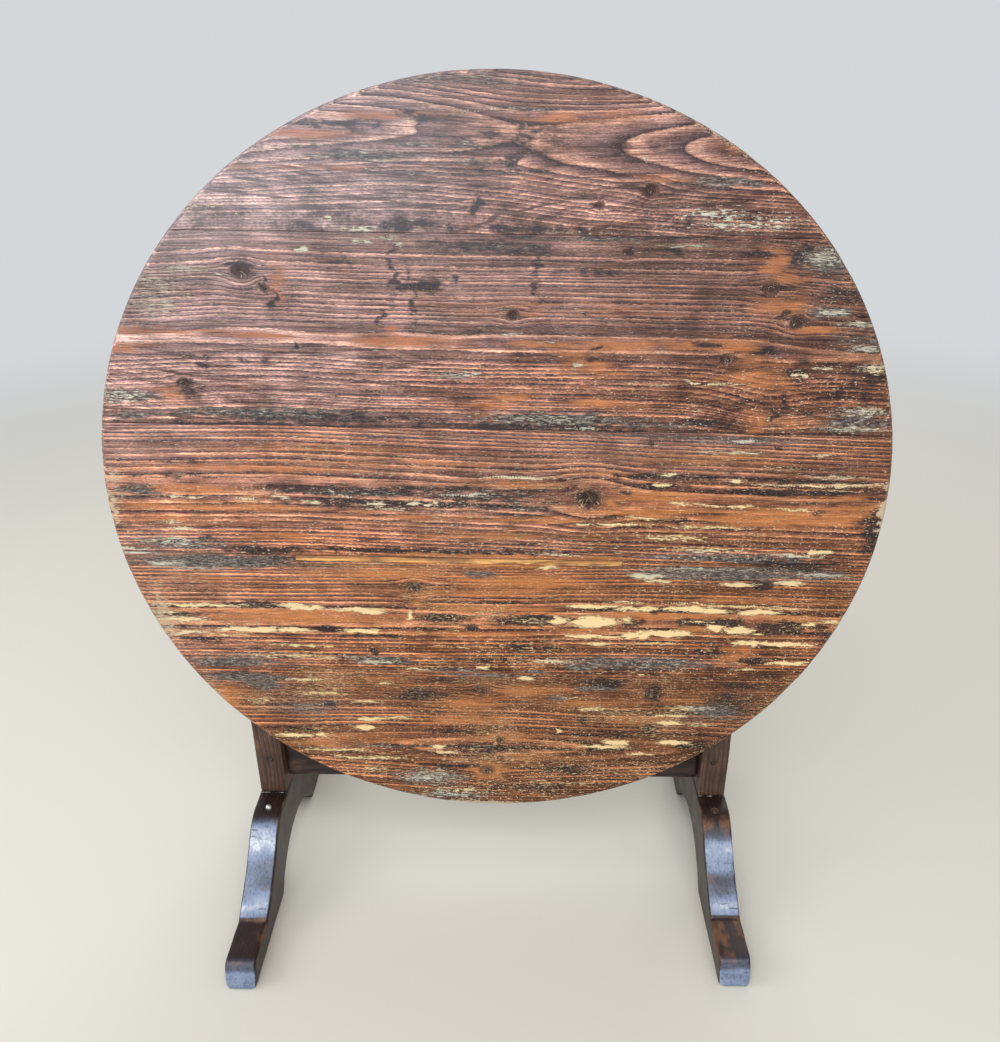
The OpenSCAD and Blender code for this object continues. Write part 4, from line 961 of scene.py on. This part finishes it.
# Board 5, the lowest: pine with three knots one above the other, finely speckled with flakes, its rim
# rubbed pale. A groove on its upper edge takes board 4's tongue.
make_board(
    5, ring=5, heart_r=60, tighter=0.2, waver=2, flaky=0.55, dim=0.08,
    heart=[(-500, -420, 70), (-200, -425, 60), (0, -430, 54), (200, -425, 60), (500, -420, 70)],
    knots=[(-14, -318, 8), (13, -414, 7), (-7, -476, 10)],
    holes=[(50, -300, 3, 0.8)],
    lenses=[(200, -350, 90, 26, 6)],
    grey=[(-380, -305, 70, 12, 1.5), (-355, -318, 26, 12, 1.6), (-290, -360, 60, 14, 1.1),
        (160, -311, 36, 5, 1.6), (350, -350, 50, 20, 1.1), (-105, -494, 80, 22, 1.05),
        (-69, -530, 90, 12, 1), (-180, -432, 70, 7, 0.9), (100, -330, 20, 6, 1.2),
        (-20, -290, 80, 4, 1.3)],
    stain=[(-110, -330, 50, 12, 1.3), (170, -301, 30, 10, 1.8), (250, -318, 14, 18, 1.4),
        (250, -388, 14, 10, 1.5), (140, -370, 8, 12, 1.1), (-255, -352, 12, 8, 1.1),
        (-310, -402, 50, 5, 1), (0, -430, 260, 3, 1.3), (120, -470, 60, 14, 0.9),
        (40, -510, 80, 10, 0.8), (320, -415, 30, 7, 1.3), (370, -335, 40, 26, 1),
        (-20, -312, 5, 12, 1.2), (-400, -298, 70, 8, 0.9), (-60, -400, 60, 6, 1.1),
        (-30, -440, 60, 5, 1.2), (160, -400, 90, 3, 1.1), (-80, -300, 50, 5, 0.9), (-60, -470, 60, 6, 1),
        (380, -300, 50, 8, 0.9)],
    orange=[(-7, -474, 30, 19, 1.8), (-420, -345, 24, 26, 1.4), (-40, -345, 60, 14, 1.3),
        (-40, -376, 70, 12, 1.3), (60, -318, 60, 12, 1.2), (20, -410, 50, 10, 1.4),
        (105, -314, 60, 8, 0.9), (280, -330, 60, 8, 0.9), (234, -368, 60, 10, 1.2),
        (60, -450, 60, 14, 0.9), (-200, -420, 90, 8, 1), (-300, -430, 60, 6, 1.1),
        (150, -340, 80, 10, 1), (-180, -300, 60, 5, 0.9)],
    chips=[(-100, -492, 80, 24, 1.05), (-190, -478, 50, 10, 1), (-60, -520, 90, 14, 1.05),
        (-290, -305, 50, 2.5, 1.8), (-270, -331, 60, 3, 1.5), (-165, -310, 14, 3, 2),
        (-200, -345, 32, 3, 1.7), (-190, -378, 26, 4, 2), (-205, -395, 22, 6, 2.2),
        (-150, -375, 30, 4, 1.6), (-312, -414, 36, 3.5, 2.3), (-275, -412, 14, 5, 1.6),
        (-85, -430, 20, 5, 2), (-70, -441, 30, 3, 1.6), (-250, -441, 80, 4, 1.5),
        (-200, -456, 90, 4, 1.5), (160, -350, 50, 6, 1.3), (285, -360, 30, 2.2, 2.6),
        (280, -374, 26, 2.6, 2.4), (310, -345, 60, 6, 1.3), (286, -412, 27, 5, 2.8),
        (200, -414, 26, 6, 2.2), (180, -424, 50, 4, 2), (240, -436, 30, 3, 1.8), (110, -394, 6, 4, 2),
        (50, -294, 12, 4, 2.4), (-117, -496, 60, 5, 1.3), (-69, -530, 80, 5, 1.2),
        (120, -500, 100, 5, 1), (-40, -460, 60, 4, 1), (330, -375, 40, 5, 1.1), (-360, -345, 40, 12, 1),
        (130, -330, 60, 5, 0.9)],
    worn=[(-60, -549, 210, 9, 1.7), (-440, -340, 30, 40, 1)])

# The strip: a thin slip of pale pine let into the third joint to fill a gap, its ends cut square. It
# took less stain than the boards, so it shows honey-coloured.
GRAIN_AT_SLOPE = (0, BOARD_SLOPE, 0)
STRIP_COLOURS = (0.20, 0.075, 0.022), (0.48, 0.19, 0.055), (0.88, 0.47, 0.150), (0.20, 0.09, 0.045)

honey_strip = stained_wood("honey_strip", GRAIN_AT_SLOPE, STRIP_COLOURS,
                           gloss=(0.40, 0.60), ring=0.0042, heart=(0.02, 0.625))
strip, at, normal = worn_copy("joint_strip", fine=1.1, smooth=1, seed=110, wear=0.5, lump=9)
dress(strip, honey_strip, worn=cloud(at[:, 0], at[:, 2], 60, 4, 112) * 0.9)
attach(strip, "top")
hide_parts("joint_strip")

# The battens: two bars of bare aged wood across the back of the boards, bevelled at their ends and
# screwed on. They keep the top flat.
AGED_COLOURS = (0.085, 0.045, 0.026), (0.17, 0.090, 0.048), (0.32, 0.185, 0.10), (0.36, 0.24, 0.15)

aged_batten = stained_wood("aged_batten", GRAIN_UPRIGHT, AGED_COLOURS,
                           gloss=(0.55, 0.75), ring=0.006, heart=(0.05, 0.34))
for seed, node in enumerate(("batten_left", "batten_right")):
    batten, at, normal = worn_copy(node, fine=2.6, smooth=2, seed=120 + seed, wear=0.4, lump=30)
    dress(batten, aged_batten, worn=edges_of(normal) * 0.8)
    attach(batten, "top")
    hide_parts(node)

# The pivot blocks and pins: a block with a rounded boss on each batten, glued and screwed, and a
# dowel of 22 mm in each that turns in the post.
PIN_COLOURS = (0.12, 0.065, 0.035), (0.24, 0.135, 0.075), (0.40, 0.25, 0.14), (0.30, 0.20, 0.13)

aged_block = stained_wood("aged_block", GRAIN_UPRIGHT, AGED_COLOURS,
                          gloss=(0.55, 0.75), ring=0.005, heart=(0.04, 0.30))
pale_pin = stained_wood("pale_pin", GRAIN_LEVEL, PIN_COLOURS,
                        gloss=(0.45, 0.65), ring=0.003, heart=(0.002, 0.672))
for seed, side in enumerate(("left", "right")):
    node = "pivot_block_" + side
    block, at, normal = worn_copy(node, fine=2.0, smooth=2, seed=130 + seed, wear=0.3, lump=20)
    dress(block, aged_block, worn=edges_of(normal) * 0.8)
    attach(block, "top")
    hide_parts(node)
    node = "pivot_pin_" + side
    pin, at, normal = worn_copy(node, fine=1.4, smooth=1, seed=134 + seed, wear=0.15, lump=12)
    dress(pin, pale_pin, worn=edges_of(normal) * 0.4)
    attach(pin, "top")
    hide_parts(node)

# The keeper: a block of the same aged wood with a slot, screwed to the back of the top. It takes the
# tip of the gate's wing, so that the level top can't tip.
keeper, at, normal = worn_copy("keeper", fine=1.8, smooth=1, seed=140, wear=0.25, lump=16)
dress(keeper, aged_block, worn=edges_of(normal) * 0.8)
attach(keeper, "top")
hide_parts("keeper")

# The screws: countersunk iron screws through the battens, the pivot blocks and the keeper, turned in
# just below the wood.
iron_screw = bare_metal("iron_screw", colour=(0.42, 0.39, 0.36), tarnish=(0.12, 0.085, 0.06), rough=0.4)
for node in ("batten_screws", "block_screws", "keeper_screws"):
    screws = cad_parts[node]
    screws.data.materials.clear()
    screws.data.materials.append(iron_screw)
